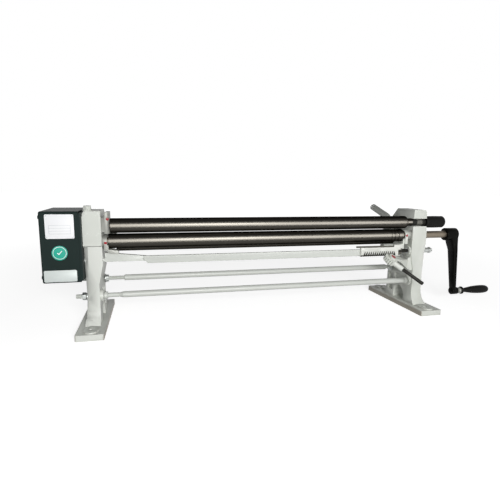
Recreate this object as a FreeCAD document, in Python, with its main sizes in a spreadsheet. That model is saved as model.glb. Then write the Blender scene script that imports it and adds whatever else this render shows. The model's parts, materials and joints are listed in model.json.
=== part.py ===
import FreeCAD, Part
import math
import os
import re
import Sketcher
from fcgear import fcgear, involute

# Slip roll machine. X runs along the rolls, +Y is the rear, Z is up from the ground.
# Origin: centre of the four foot bolt holes, on the ground.
SIZES = [
    ("roll_y", -76, "top and lower roll axes lie in this plane, in front of the feet's middle"),
    ("lower_z", 303, "lower roll axis with the pinch bar at its low stop"),
    ("top_z", 355, "top roll axis"),
    ("rear_y", -18, "rear roll axis at rest"),
    ("rear_z", 284, "rear roll axis at rest"),
    ("roll_r", 25, "all three rolls are 50 mm bars"),
    ("top_left", 560, "top roll body, left end"),
    ("top_right", 565, "top roll body, right end"),
    ("lower_left", 567, "lower roll body, left end"),
    ("lower_right", 550, "lower roll body, right end"),
    ("rear_half", 547, "rear roll body, half length"),
    ("frame_in", 587, "inner face of the heads"),
    ("frame_out", 645.5, "outer face of the heads"),
    ("leg_in", 598, "inner face of the legs"),
    ("leg_out", 641, "outer face of the legs"),
    ("leg_flare", 649, "outer face where a leg meets its foot"),
    ("front", -100, "front face of the heads"),
    ("back", 64, "back face of the heads"),
    ("leg_back", 76, "back edge of the rear leg"),
    ("head_top", 405, "top of the heads"),
    ("corner_r", 22, "rounded outer top corner"),
    ("back_r", 30, "rounded back top corner"),
    ("foot_in", 585.5, "inner side of a foot"),
    ("foot_out", 667, "outer side of a foot"),
    ("foot_half", 199, "half length of a foot"),
    ("foot_top", 20.5, "foot thickness"),
    ("bolt_x", 626, "foot bolt holes from the middle"),
    ("bolt_y", 160, "foot bolt holes from the middle"),
    ("bolt_r", 6.5, "foot bolt holes for M12"),
    ("arch_front", -48, "front leg's rear face"),
    ("arch_back", 22, "rear leg's front face"),
    ("arch_top", 78, "crown of the arch between the legs"),
    ("slot_half", 17.3, "half width of the bearing slots"),
    ("slot_low", 285.7, "floor of the bearing slots"),
    ("slot_high", 322.5, "roof of the bearing slots"),
    ("notch_r", 15.3, "open notch for the top roll's right journal"),
    ("stud_z", 238.3, "height of the guide studs"),
    ("stud_r", 7, "guide studs of the pinch bar"),
    ("sleeve_r", 10, "sleeves in which the guide studs run"),
    ("shaft_y", 36, "bending shaft axis"),
    ("shaft_z", 300, "bending shaft axis"),
    ("shaft_r", 12.5, "bending shaft"),
    ("low_rod_y", -74, "lower tie rod"),
    ("low_rod_z", 114, "lower tie rod"),
    ("high_rod_y", 51, "upper tie rod"),
    ("high_rod_z", 145, "upper tie rod"),
    ("rod_r", 11, "tie rods"),
    ("thread_r", 7.5, "threaded ends of the tie rods"),
    ("pivot_x", -630, "vertical axis about which the top roll swings out"),
    ("window_low", 335, "floor of the swivel window"),
    ("window_high", 384, "roof of the swivel window"),
    ("cap_low", 288, "lower edge of the left front cap"),
    ("cap_back", -93.3, "joint face of the left front cap"),
    ("case_in", 652, "open side of the gear case"),
    ("case_out", 767, "closed side of the gear case"),
    ("case_front", -131, "gear case front"),
    ("case_back", 69, "gear case back"),
    ("case_low", 178, "gear case bottom"),
    ("case_high", 404, "gear case top"),
    ("wall", 3, "gear case wall"),
    ("gear_in", 668, "gears, near side"),
    ("gear_out", 692, "gears, far side"),
    ("bar_front", -92, "pinch bar, front face"),
    ("bar_back", -82, "pinch bar, back face"),
    ("bar_low", 225, "pinch bar, lower edge"),
    ("bar_high", 251, "pinch bar, upper edge"),
    ("bar_left", 455, "pinch bar, left end"),
    ("bar_right", 505, "pinch bar, right end"),
    ("wedge_slope", 0.112, "rise of the wedges per mm of bar travel"),
    ("wedge_left_z", 259.4, "left wedge, height at X -537"),
    ("wedge_right_z", 259.4, "right wedge, height at X 469"),
    ("rack_left", 363, "rack plate, left end"),
    ("rack_right", 529, "rack plate, right end"),
    ("rack_front", -102, "rack plate, front face"),
    ("rack_low", 223.5, "rack plate, lower edge"),
    ("rack_high", 259, "rack plate, upper edge"),
    ("pitch_x", 488, "pitch point of rack and pinion"),
    ("pitch_y", -98, "pitch point of rack and pinion"),
    ("pitch_z", 229, "pitch point of rack and pinion"),
    ("face_lean", 30, "lean of the rack's tooth face from upright, degrees"),
    ("tooth_slant", 18, "slant of the teeth across that face, degrees"),
    ("rack_module", 2.8157, "normal module of rack and pinion"),
    ("pinion_teeth", 18, "teeth on the pinion"),
    ("crank_r", 245.5, "crank radius, from roll axis to handle axis"),
    ("gear_teeth", 13, "teeth on each drive gear"),
    ("gear_pitch_d", 50, "pitch diameter of the drive gears"),
]

doc = FreeCAD.newDocument("slip_roll")
sheet = doc.addObject("Spreadsheet::Sheet", "Sizes")
for row, (alias, value, why) in enumerate(SIZES, start=1):
    sheet.set("A%d" % row, alias.replace("_", " "))
    sheet.set("B%d" % row, str(value))
    sheet.setAlias("B%d" % row, alias)
    sheet.set("C%d" % row, why)
doc.recompute()

ALIASES = re.compile(r"\b(" + "|".join(name for name, _, _ in SIZES) + r")\b")
UP = FreeCAD.Vector(0, 0, 1)
nodes = []


def ex(value):
    """An expression over the sheet, from plain arithmetic with its names."""
    return ALIASES.sub(r"Sizes.\1", str(value))


def num(value):
    """The number that such an expression comes to."""
    return float(sheet.evalExpression(ex(value)))


def node(label, shape_object):
    """Gives an object the name of its node and keeps it for export."""
    shape_object.Label = label
    nodes.append(shape_object)
    return shape_object


# ---------------------------------------------------------------- sketches and features

class Circle:
    """A circle in a sketch."""

    def __init__(self, x, y, r):
        self.x, self.y, self.r = x, y, r

    def draw(self, sketch):
        centre = FreeCAD.Vector(num(self.x), num(self.y), 0)
        index = sketch.addGeometry(Part.Circle(centre, UP, num(self.r)), False)
        pin(sketch, index, 3, self.x, self.y)
        radius = sketch.addConstraint(Sketcher.Constraint("Radius", index, num(self.r)))
        sketch.setExpression("Constraints[%d]" % radius, ex(self.r))


class Outline:
    """A closed outline of straight lines through (x, y) corners."""

    def __init__(self, *corners):
        self.corners = corners

    def draw(self, sketch):
        points = [FreeCAD.Vector(num(x), num(y), 0) for x, y in self.corners]
        count = len(points)
        first = sketch.GeometryCount
        lines = [Part.LineSegment(points[i], points[(i + 1) % count]) for i in range(count)]
        sketch.addGeometry(lines, False)
        for i in range(count):
            joined = Sketcher.Constraint("Coincident", first + i, 2, first + (i + 1) % count, 1)
            sketch.addConstraint(joined)
        for i, (x, y) in enumerate(self.corners):
            pin(sketch, first + i, 1, x, y)


def rect(x0, y0, x1, y1):
    """An upright rectangle."""
    return Outline((x0, y0), (x1, y0), (x1, y1), (x0, y1))


def pin(sketch, index, point, x, y):
    """Ties one point of a sketch to expressions over the sheet."""
    for kind, value in (("DistanceX", x), ("DistanceY", y)):
        made = sketch.addConstraint(Sketcher.Constraint(kind, -1, 1, index, point, num(value)))
        sketch.setExpression("Constraints[%d]" % made, ex(value))


def sketch_on(body, plane, offset, shapes):
    """A sketch on one of the body's own planes, moved along that plane's normal."""
    sketch = body.newObject("Sketcher::SketchObject", body.Label + "_sketch")
    origin_plane = [f for f in body.Origin.OriginFeatures if f.Role == plane + "_Plane"][0]
    sketch.AttachmentSupport = [(origin_plane, "")]
    sketch.MapMode = "FlatFace"
    sketch.setExpression("AttachmentOffset.Base.z", ex(offset))
    for shape in shapes:
        shape.draw(sketch)
    return sketch


def new_body(label):
    """An empty body for one node."""
    return node(label, doc.addObject("PartDesign::Body", label))


def pad(body, plane, lo, hi, *shapes):
    """Adds the shapes between two levels on the axis across the plane."""
    offset = "-(%s)" % hi if plane == "XZ" else lo
    feature = body.newObject("PartDesign::Pad", body.Label + "_pad")
    feature.Profile = sketch_on(body, plane, offset, shapes)
    feature.setExpression("Length", ex("(%s) - (%s)" % (hi, lo)))
    doc.recompute()
    return feature


def cut(body, plane, lo, hi, *shapes):
    """Takes the shapes away between two levels on the axis across the plane."""
    before = body.Shape.Volume
    offset = "-(%s)" % lo if plane == "XZ" else hi
    feature = body.newObject("PartDesign::Pocket", body.Label + "_cut")
    feature.Profile = sketch_on(body, plane, offset, shapes)
    feature.setExpression("Length", ex("(%s) - (%s)" % (hi, lo)))
    doc.recompute()
    if before - body.Shape.Volume < 1:
        raise ValueError("%s: %s removed nothing" % (body.Label, feature.Name))
    return feature


def turn(body, y, z, profile):
    """Adds a turned shape about an axis along X, from (x, radius) corners."""
    sketch = body.newObject("Sketcher::SketchObject", body.Label + "_profile")
    origin_plane = [f for f in body.Origin.OriginFeatures if f.Role == "XZ_Plane"][0]
    sketch.AttachmentSupport = [(origin_plane, "")]
    sketch.MapMode = "FlatFace"
    sketch.setExpression("AttachmentOffset.Base.y", ex(z))
    sketch.setExpression("AttachmentOffset.Base.z", ex("-(%s)" % y))
    Outline(*profile).draw(sketch)
    feature = body.newObject("PartDesign::Revolution", body.Label + "_turned")
    feature.Profile = sketch
    feature.ReferenceAxis = (sketch, ["H_Axis"])
    feature.Angle = 360
    doc.recompute()
    return feature


def turned(label, y, z, profile):
    """A node turned about an axis along X."""
    body = new_body(label)
    turn(body, y, z, profile)
    return body


def round_edges(body, radius, x0, y0, z0, x1, y1, z1, chamfer=False):
    """Rounds or bevels every edge of the body that lies inside a box."""
    kind = "PartDesign::Chamfer" if chamfer else "PartDesign::Fillet"
    low = [num(v) - 0.1 for v in (x0, y0, z0)]
    high = [num(v) + 0.1 for v in (x1, y1, z1)]
    names = []
    for index, edge in enumerate(body.Shape.Edges, start=1):
        box = edge.BoundBox
        starts = (box.XMin, box.YMin, box.ZMin)
        ends = (box.XMax, box.YMax, box.ZMax)
        if all(starts[k] >= low[k] and ends[k] <= high[k] for k in range(3)):
            names.append("Edge%d" % index)
    if not names:
        raise ValueError("%s: no edge in the box to round" % body.Label)
    tip = body.Tip
    feature = body.newObject(kind, body.Label + "_edges")
    feature.Base = (tip, names)
    feature.setExpression("Size" if chamfer else "Radius", ex(radius))
    doc.recompute()
    if "Up-to-date" not in feature.State:
        raise ValueError("%s: %s failed" % (body.Label, feature.Name))
    return feature


# ---------------------------------------------------------------- plain solids

AIMS = {
    "X": FreeCAD.Rotation(FreeCAD.Vector(0, 1, 0), 90),
    "Y": FreeCAD.Rotation(FreeCAD.Vector(1, 0, 0), -90),
    "Z": FreeCAD.Rotation(),
}


def place(thing, aim, x, y, z):
    """Aims a primitive's own Z axis and ties its position to the sheet."""
    thing.Placement = FreeCAD.Placement(FreeCAD.Vector(), AIMS[aim])
    for axis, value in (("x", x), ("y", y), ("z", z)):
        thing.setExpression("Placement.Base." + axis, ex(value))
    return thing


def rod(aim, x, y, z, r, length):
    """A cylinder from a point along X, Y or Z."""
    thing = doc.addObject("Part::Cylinder", "rod")
    thing.setExpression("Radius", ex(r))
    thing.setExpression("Height", ex(length))
    return place(thing, aim, x, y, z)


def hexagon(aim, x, y, z, across, length):
    """A hexagonal prism from a point along X, Y or Z."""
    thing = doc.addObject("Part::Prism", "hexagon")
    thing.Polygon = 6
    thing.setExpression("Circumradius", ex("(%s) / sqrt(3)" % across))
    thing.setExpression("Height", ex(length))
    return place(thing, aim, x, y, z)


def less(base, tool):
    """One solid minus another."""
    thing = doc.addObject("Part::Cut", "less")
    thing.Base = base
    thing.Tool = tool
    return thing


def joined(*parts):
    """Several solids made one."""
    thing = doc.addObject("Part::MultiFuse", "joined")
    thing.Shapes = list(parts)
    return thing


def group(label, parts):
    """Several separate solids of the same kind in one node."""
    thing = doc.addObject("Part::Compound", label)
    thing.Links = list(parts)
    doc.recompute()
    return node(label, thing)


def tube(aim, x, y, z, outer, bore, length):
    """A bush or washer."""
    return less(rod(aim, x, y, z, outer, length), rod(aim, x, y, z, bore, length))


def mirrored(side, near, far):
    """Low and high X of a span given on the right side, for side 1 or -1."""
    if side > 0:
        return near, far
    return "-(%s)" % far, "-(%s)" % near


class Slot:
    """An upright slot: two half circles joined by straight sides."""

    def __init__(self, x, y, half, r):
        self.x, self.y, self.half, self.r = x, y, half, r

    def draw(self, sketch):
        x, r = num(self.x), num(self.r)
        top = "(%s) + (%s)" % (self.y, self.half)
        bottom = "(%s) - (%s)" % (self.y, self.half)
        high, low = num(top), num(bottom)
        first = sketch.GeometryCount
        upper = Part.Circle(FreeCAD.Vector(x, high, 0), UP, r)
        lower = Part.Circle(FreeCAD.Vector(x, low, 0), UP, r)
        left = (FreeCAD.Vector(x - r, high, 0), FreeCAD.Vector(x - r, low, 0))
        right = (FreeCAD.Vector(x + r, low, 0), FreeCAD.Vector(x + r, high, 0))
        sketch.addGeometry([
            Part.ArcOfCircle(upper, 0, math.pi),
            Part.LineSegment(*left),
            Part.ArcOfCircle(lower, math.pi, 2 * math.pi),
            Part.LineSegment(*right),
        ], False)
        for i in range(4):
            sketch.addConstraint(
                Sketcher.Constraint("Tangent", first + i, 2, first + (i + 1) % 4, 1))
        pin(sketch, first, 3, self.x, top)
        pin(sketch, first + 2, 3, self.x, bottom)
        made = sketch.addConstraint(Sketcher.Constraint("Radius", first, r))
        sketch.setExpression("Constraints[%d]" % made, ex(self.r))


class Corner:
    """What is cut off to round the corner (x, y) whose material lies towards -sx, -sy."""

    def __init__(self, x, y, r, sx, sy):
        self.x, self.y, self.r, self.sx, self.sy = x, y, r, sx, sy

    def draw(self, sketch):
        in_x = "(%s) - %d * (%s)" % (self.x, self.sx, self.r)
        in_y = "(%s) - %d * (%s)" % (self.y, self.sy, self.r)
        out_x = "(%s) + %d" % (self.x, self.sx)
        out_y = "(%s) + %d" % (self.y, self.sy)
        corners = [(in_x, self.y), (in_x, out_y), (out_x, out_y), (out_x, in_y), (self.x, in_y)]
        points = [FreeCAD.Vector(num(x), num(y), 0) for x, y in corners]
        first = sketch.GeometryCount
        sketch.addGeometry([Part.LineSegment(points[i], points[i + 1]) for i in range(4)], False)
        circle = Part.Circle(FreeCAD.Vector(num(in_x), num(in_y), 0), UP, num(self.r))
        quarter = math.pi / 2
        begin = {(1, 1): 0, (-1, 1): 1, (-1, -1): 2, (1, -1): 3}[(self.sx, self.sy)] * quarter
        sketch.addGeometry(Part.ArcOfCircle(circle, begin, begin + quarter), False)
        for i in range(3):
            sketch.addConstraint(
                Sketcher.Constraint("Coincident", first + i, 2, first + i + 1, 1))
        arc = first + 4
        ends = (1, 2) if self.sx * self.sy > 0 else (2, 1)
        sketch.addConstraint(Sketcher.Constraint("Coincident", arc, ends[0], first + 3, 2))
        sketch.addConstraint(Sketcher.Constraint("Coincident", arc, ends[1], first, 1))
        for i, (x, y) in enumerate(corners[:4]):
            pin(sketch, first + i, 1, x, y)
        pin(sketch, first + 3, 2, *corners[4])
        made = sketch.addConstraint(Sketcher.Constraint("Radius", arc, num(self.r)))
        sketch.setExpression("Constraints[%d]" % made, ex(self.r))


# ---------------------------------------------------------------- side frames

def side_frame(label, side):
    """One cast side frame: foot, two legs with an arch, and the head."""
    body = new_body(label)
    sign = "" if side > 0 else "-"
    lo, hi = mirrored(side, "frame_in", "leg_flare")
    pad(body, "YZ", lo, hi, Outline(
        ("front - 20", "foot_top - 2"), ("front - 18", "foot_top + 3"),
        ("front - 6", "foot_top + 22"), ("front", "foot_top + 45"), ("front", "head_top"),
        ("back", "head_top"), ("back", 300), ("leg_back", 115),
        ("leg_back", "foot_top + 45"), ("leg_back + 7", "foot_top + 22"),
        ("leg_back + 20", "foot_top + 3"), ("leg_back + 22", "foot_top - 2")))
    cut(body, "YZ", lo, hi, Corner("back", "head_top", "back_r", 1, 1))
    # legs thinner than the head, on both faces
    y_all = ("front - 30", "leg_back + 30")
    side_x = "%s(%%s)" % sign
    cut(body, "XZ", *y_all, Outline(
        (side_x % "frame_in - 1", "foot_top"), (side_x % "leg_in", "foot_top"),
        (side_x % "leg_in", 160), (side_x % "frame_in", 228), (side_x % "frame_in - 1", 228)))
    cut(body, "XZ", *y_all, Outline(
        (side_x % "leg_flare", "foot_top"), (side_x % "leg_out", 96),
        (side_x % "leg_out", 160), (side_x % "frame_out", 230),
        (side_x % "frame_out", "head_top"), (side_x % "leg_flare + 1", "head_top + 1"),
        (side_x % "leg_flare + 1", "foot_top")))
    cut(body, "XZ", *y_all, Corner(side_x % "frame_out", "head_top", "corner_r", side, 1))
    # arch between the legs, and the recesses of the casting
    arch_y = "(arch_front + arch_back) / 2"
    arch_r = "(arch_back - arch_front) / 2"
    crown = "arch_top - " + arch_r
    lo, hi = mirrored(side, "frame_in - 5", "leg_flare + 5")
    cut(body, "YZ", lo, hi, rect("arch_front", "foot_top", "arch_back", crown))
    cut(body, "YZ", lo, hi, Circle(arch_y, crown, arch_r))
    lo, hi = mirrored(side, "foot_in", "foot_out")
    pad(body, "XY", "0", "foot_top", rect(lo, "-foot_half", hi, "foot_half"))
    for end in (-1, 1):
        for corner_x, way in ((lo, -1), (hi, 1)):
            cut(body, "XY", "-1", "foot_top + 1",
                Corner(corner_x, "%d * foot_half" % end, 9, way, end))
    for boss_y in ("-bolt_y", "bolt_y"):
        pad(body, "XY", "0", "foot_top + 4", Slot(sign + "bolt_x", boss_y, 11, 22))
    lo, hi = mirrored(side, "frame_in - 5", "leg_in + 8")
    cut(body, "YZ", lo, hi, rect("arch_front + 3", "arch_top + 14", "arch_back - 3", 128))
    cut(body, "YZ", lo, hi, rect("arch_back + 10", 46, "leg_back - 10", 118))
    return body


def shared_machining(body, side):
    """Bores and slots that both frames have."""
    sign = "" if side > 0 else "-"
    lo, hi = mirrored(side, "frame_in - 5", "leg_flare + 5")
    inner, face = mirrored(side, "leg_in - 8", "leg_in + 1")
    pad(body, "YZ", inner, face, Circle("low_rod_y", "low_rod_z", 20))
    for rod_y, rod_z in (("low_rod_y", "low_rod_z"), ("high_rod_y", "high_rod_z")):
        cut(body, "YZ", *mirrored(side, "leg_in - 20", "leg_out + 20"),
            Circle(rod_y, rod_z, "thread_r + 0.3"))
    cut(body, "YZ", lo, hi, rect("roll_y - slot_half", "slot_low",
                                 "roll_y + slot_half", "slot_high"))
    cut(body, "YZ", lo, hi, Circle("shaft_y", "shaft_z", "shaft_r + 3.5"))
    for bolt_y in ("-bolt_y", "bolt_y"):
        cut(body, "XY", "-1", "foot_top + 5", Circle(sign + "bolt_x", bolt_y, "bolt_r"))


right = side_frame("right_frame", 1)
pad(right, "YZ", "frame_in - 5", "frame_in + 1", Circle("roll_y", "stud_z", 20))
pad(right, "YZ", "frame_in", "leg_in + 6", rect("front + 6", 160, "roll_y + 30", 220))
shared_machining(right, 1)
cut(right, "YZ", "frame_in - 6", "leg_flare + 5", Circle("roll_y", "stud_z", "sleeve_r"))
cut(right, "YZ", "frame_in - 6", "leg_flare + 5",
    rect("front - 5", "top_z - notch_r", "roll_y", "top_z + notch_r"))
cut(right, "YZ", "frame_in - 6", "leg_flare + 5", Circle("roll_y", "top_z", "notch_r"))
for screw_y in ("front + 14", "roll_y + 22"):
    cut(right, "YZ", "frame_in - 1", "frame_in + 20", Circle(screw_y, 190, 4))

left = side_frame("left_frame", -1)
shared_machining(left, -1)
cut(left, "YZ", "-leg_flare - 5", "5 - frame_in", Circle("roll_y", "stud_z", "sleeve_r"))
cut(left, "YZ", "-leg_flare - 5", "5 - frame_in",
    rect("front - 5", "cap_low", "cap_back", "head_top + 5"))
cut(left, "YZ", "-leg_flare - 5", "5 - frame_in",
    rect("cap_back - 5", "window_low", "roll_y + 20.5", "window_high"))
pad(left, "XY", "window_high + 1", "head_top", Circle("pivot_x", "roll_y", 14))
cut(left, "XY", "window_high - 1", "head_top + 1", Circle("pivot_x", "roll_y", 8))
cut(left, "XY", "slot_high - 1", "window_low + 1", Circle("pivot_x", "roll_y", 5))

cap = new_body("left_front_cap")
pad(cap, "YZ", "-frame_out", "-frame_in", rect("front", "cap_low", "cap_back", "head_top"))
cut(cap, "XZ", "front - 1", "cap_back + 1", Corner("-frame_out", "head_top", "corner_r", -1, 1))
round_edges(cap, 2, "-frame_in", "front", "cap_low", "-frame_in", "front", "head_top")
cut(cap, "YZ", "-frame_out - 1", "1 - frame_in",
    rect("front + 2.7", "window_low", "cap_back + 1", "window_high"))
cap_holes = [(x, z) for x in ("12 - frame_out", "-12 - frame_in") for z in (328.8, 394)]
for hole_x, hole_z in cap_holes:
    cut(cap, "XZ", "front - 1", "cap_back + 1", Circle(hole_x, hole_z, 2.6))
    cut(cap, "XZ", "front - 1", "front + 4", Circle(hole_x, hole_z, 4.6))
    cut(left, "XZ", "cap_back - 1", "front + 14", Circle(hole_x, hole_z, 2.5))
cap_screws = []
for hole_x, hole_z in cap_holes:
    head = rod("Y", hole_x, "front + 0.6", hole_z, 4.5, 3.4)
    hollow = hexagon("Y", hole_x, "front - 1", hole_z, 3.5, 3.6)
    shank = rod("Y", hole_x, "front + 3.9", hole_z, 2.5, 9.5)
    cap_screws.append(less(joined(head, shank), hollow))
group("cap_screws", cap_screws)

group("trunnion_bolt", [joined(
    hexagon("Z", "pivot_x", "roll_y", "head_top", 24, 12),
    rod("Z", "pivot_x", "roll_y", "window_high - 14", 8, "head_top - window_high + 14.5"))])
group("trunnion_pin", [rod("Z", "pivot_x", "roll_y", "slot_high + 1", 5, 17.5)])

# ---------------------------------------------------------------- tie rods

turned("lower_tie_rod", "low_rod_y", "low_rod_z", [
    ("-680", 0), ("-680", "thread_r - 1"), ("-679", "thread_r"), ("-590", "thread_r"),
    ("-590", 13), ("-576", 13), ("-576", "thread_r"), ("-540", "thread_r"), ("-526", "rod_r"),
    ("526", "rod_r"), ("540", "thread_r"), ("576", "thread_r"), ("576", 13), ("590", 13),
    ("590", "thread_r"), ("679", "thread_r"),
    ("680", "thread_r - 1"), ("680", 0)])
turned("upper_tie_rod", "high_rod_y", "high_rod_z", [
    ("-676", 0), ("-676", "thread_r - 1"), ("-675", "thread_r"), ("-541", "thread_r"),
    ("-530", "rod_r"), ("530", "rod_r"), ("541", "thread_r"), ("675", "thread_r"),
    ("676", "thread_r - 1"), ("676", 0)])


def nut(x, y, z, across, length, bore):
    """A plain hexagon nut."""
    return less(hexagon("X", x, y, z, across, length), rod("X", x, y, z, bore, length))


rod_nuts = []
rod_washers = []
for outside, side in (("leg_out", 1), ("-leg_out - 17", -1)):
    for rod_y, rod_z in (("low_rod_y", "low_rod_z"), ("high_rod_y", "high_rod_z")):
        washer_x = "leg_out" if side > 0 else "-leg_out - 3"
        rod_washers.append(tube("X", washer_x, rod_y, rod_z, 16, "thread_r", 3))
        nut_x = "leg_out + 3" if side > 0 else "-leg_out - 16"
        rod_nuts.append(nut(nut_x, rod_y, rod_z, 24, 13, "thread_r"))
for nut_x in ("leg_in - 19.5", "-leg_in + 6.5"):
    rod_nuts.append(nut(nut_x, "high_rod_y", "high_rod_z", 24, 13, "thread_r"))
for washer_x in ("leg_in - 3", "-leg_in"):
    rod_washers.append(tube("X", washer_x, "high_rod_y", "high_rod_z", 16, "thread_r", 3))
group("tie_rod_nuts", rod_nuts)
group("tie_rod_washers", rod_washers)

# ---------------------------------------------------------------- gear case

cover = new_body("gear_case_cover")
pad(cover, "YZ", "-case_out", "-case_in",
    rect("case_front", "case_low", "case_back", "case_high"))
for edge_y in ("case_front", "case_back"):
    for edge_z in ("case_low", "case_high"):
        round_edges(cover, 8, "-case_out", edge_y, edge_z, "-case_in", edge_y, edge_z)
round_edges(cover, 4, "-case_out", "case_front", "case_low",
            "-case_out", "case_back", "case_high")
cut(cover, "YZ", "wall - case_out", "1 - case_in",
    rect("case_front + wall", "case_low + wall", "case_back - wall", "case_high - wall"))

plate = new_body("gear_bearing_plate")
pad(plate, "YZ", "-case_in - 5", "-frame_out", rect(
    "case_front + wall", "case_low + wall", "case_back - wall", "case_high - wall"))
cut(plate, "YZ", "-case_in - 6", "1 - frame_out", Circle("roll_y", "top_z", 16))
cut(plate, "YZ", "-case_in - 6", "1 - frame_out", Slot("roll_y", "lower_z + 1", 3, 14.5))
post_spots = [(y, z) for y in ("case_front + 16", "case_back - 16")
              for z in ("case_low + 16", "case_high - 16")]
posts = []
case_screws = []
for post_y, post_z in post_spots:
    posts.append(less(rod("X", "wall - case_out", post_y, post_z, 7, 107),
                      rod("X", "wall - case_out", post_y, post_z, 3, 20)))
    cut(cover, "YZ", "-case_out - 1", "wall - case_out + 1", Circle(post_y, post_z, 3.3))
    case_screws.append(joined(rod("X", "-case_out - 4", post_y, post_z, 6, 4),
                              rod("X", "-case_out", post_y, post_z, 3, 18)))
group("case_posts", posts)
group("case_screws", case_screws)
group("stub_bush", [tube("X", "-case_in - 5", "roll_y", "top_z", 16, 12.3, 11.5)])

# ---------------------------------------------------------------- drive gears and rolls

GEAR_MODULE = num("gear_pitch_d / gear_teeth")


def gear_face(module, teeth, shift, turned_by):
    """Involute gear outline in the XY plane, with one tooth at the given angle."""
    builder = fcgear.FCWireBuilder()
    involute.CreateExternalGear(builder, module, teeth, 20, True, 1.0, 1.25, 0.3, shift)
    wire = Part.Wire([segment.toShape() for segment in builder.wire])
    face = Part.Face(wire)
    face.rotate(FreeCAD.Vector(), UP, turned_by)
    return face


def gear_along_x(turned_by):
    """Drive gear blank, upright on the X axis, from gear_in to gear_out on the left."""
    face = gear_face(GEAR_MODULE, int(num("gear_teeth")), -0.06, turned_by)
    width = num("gear_out - gear_in")
    solid = face.extrude(FreeCAD.Vector(0, 0, width))
    solid.rotate(FreeCAD.Vector(), FreeCAD.Vector(1, 1, 1), 120)
    solid.translate(FreeCAD.Vector(-num("gear_out"), num("roll_y"), 0))
    return solid


def solid_node(label, shape):
    """A node whose shape is made by Part functions."""
    thing = doc.addObject("Part::Feature", label)
    thing.Shape = shape.removeSplitter()
    return node(label, thing)


def cylinder(x, y, z, r, length, direction=FreeCAD.Vector(1, 0, 0)):
    """A cylinder shape from a point along a direction."""
    return Part.makeCylinder(r, length, FreeCAD.Vector(x, y, z), direction)


HALF_PITCH = 180 / num("gear_teeth")
ROLL_Y = num("roll_y")
TOP_Z = num("top_z")
LOWER_Z = num("lower_z")
PIVOT_X = num("pivot_x")
CUP_MOUTH = PIVOT_X + 14

top_gear = gear_along_x(-90)
top_gear.translate(FreeCAD.Vector(0, 0, TOP_Z))
stub = cylinder(-700, ROLL_Y, TOP_Z, 12, 700 + CUP_MOUTH)
stub = stub.cut(cylinder(PIVOT_X - 8, ROLL_Y, TOP_Z, 7.5, 40))
stub = stub.cut(Part.makeBox(30, 30, 6.4, FreeCAD.Vector(PIVOT_X - 5.5, ROLL_Y - 15, TOP_Z - 3.2)))
solid_node("top_gear", top_gear.fuse(stub))

lower_gear = gear_along_x(90 + HALF_PITCH)
lower_gear.translate(FreeCAD.Vector(0, 0, LOWER_Z))
hub = cylinder(-num("gear_out") - 6, ROLL_Y, LOWER_Z, 18, 8)
bore = cylinder(-800, ROLL_Y, LOWER_Z, 12, 200)
solid_node("lower_gear", lower_gear.fuse(hub).cut(bore))

turned("top_roll", "roll_y", "top_z", [
    ("pivot_x - 7", 0), ("pivot_x - 6.3", 3.2), ("pivot_x - 4", 5.8), ("pivot_x", 7),
    ("pivot_x + 4", 5.8), ("pivot_x + 5.3", 4.5), ("pivot_x + 18", 4.5), ("pivot_x + 18", 11),
    ("-top_left", 11), ("-top_left", "roll_r - 2"), ("2 - top_left", "roll_r"),
    ("top_right - 2", "roll_r"), ("top_right", "roll_r - 2"), ("top_right", 15),
    (589, 15), (589, 12), (740, 12), (740, 0)])
cut(doc.getObject("top_roll"), "XZ", "roll_y - 12", "roll_y + 12", Circle("pivot_x", "top_z", 3))
group("coupling_pin", [rod("Y", "pivot_x", "roll_y - 11.7", "top_z", 3, 23.4)])
turned("roll_sleeve", "roll_y", "top_z", [(589, 12), (589, 15), (651, 15), (651, 12)])
turned("roll_grip", "roll_y", "top_z", [
    (653, 12), (653, 22), (655, 24), (744, 24), (750, 21), (752, 16), (752, 0), (740, 0),
    (740, 12)])

lower = turned("lower_roll", "roll_y", "lower_z", [
    ("-706", 0), ("-706", 7), ("-705", 8), ("-gear_out - 6", 8), ("-gear_out - 6", 12),
    ("-lower_left", 12), ("-lower_left", "roll_r - 2"), ("2 - lower_left", "roll_r"),
    (492, "roll_r"), (494.5, 22.5), (497, "roll_r"),
    (505, "roll_r"), (508.5, 21.5), (512, "roll_r"),
    (519, "roll_r"), (523.5, 20.5), (528, "roll_r"),
    ("lower_right - 2", "roll_r"), ("lower_right", "roll_r - 2"), ("lower_right", 14.5),
    (753, 14.5), (753, 12), (788, 12), (788, 0)])
group("lower_gear_nut", [nut("-gear_out - 13.5", "roll_y", "lower_z", 22, 7.5, 8)])

# ---------------------------------------------------------------- lower bearings

def lower_block(label, side, plate_near, plate_far, plate_low, journal_r, bush_r, foot):
    """Bearing that carries one end of the lower roll and slides upright in its frame."""
    body = new_body(label)
    plate_lo, plate_hi = mirrored(side, plate_near, plate_far)
    pad(body, "YZ", plate_lo, plate_hi, rect("roll_y - 20", plate_low, "roll_y + 20", "lower_z"))
    pad(body, "YZ", *mirrored(side, plate_near, "frame_in - 0.3"), Circle("roll_y", "lower_z", 20))
    pad(body, "YZ", *mirrored(side, "frame_in - 0.3", "frame_out - 0.5"),
        rect("roll_y - 17", "lower_z - 17", "roll_y + 17", "lower_z + 17"))
    pad(body, "XZ", "roll_y - 14", "roll_y + 14", Outline(*foot))
    cut(body, "YZ", *mirrored(side, "500", "frame_out + 1"),
        Circle("roll_y", "lower_z", journal_r + " + 0.7"))
    cut(body, "YZ", *mirrored(side, plate_near + " - 1", plate_near + " + 35"),
        Circle("roll_y", "lower_z", bush_r))
    return body


def wedge_top(x, side, gap):
    """Height of a wedge's top face at some X, or a gap above it."""
    if side > 0:
        return "wedge_right_z - wedge_slope * ((%s) - 469) + %s" % (x, gap)
    return "wedge_left_z - wedge_slope * ((%s) + 537) + %s" % (x, gap)


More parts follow.
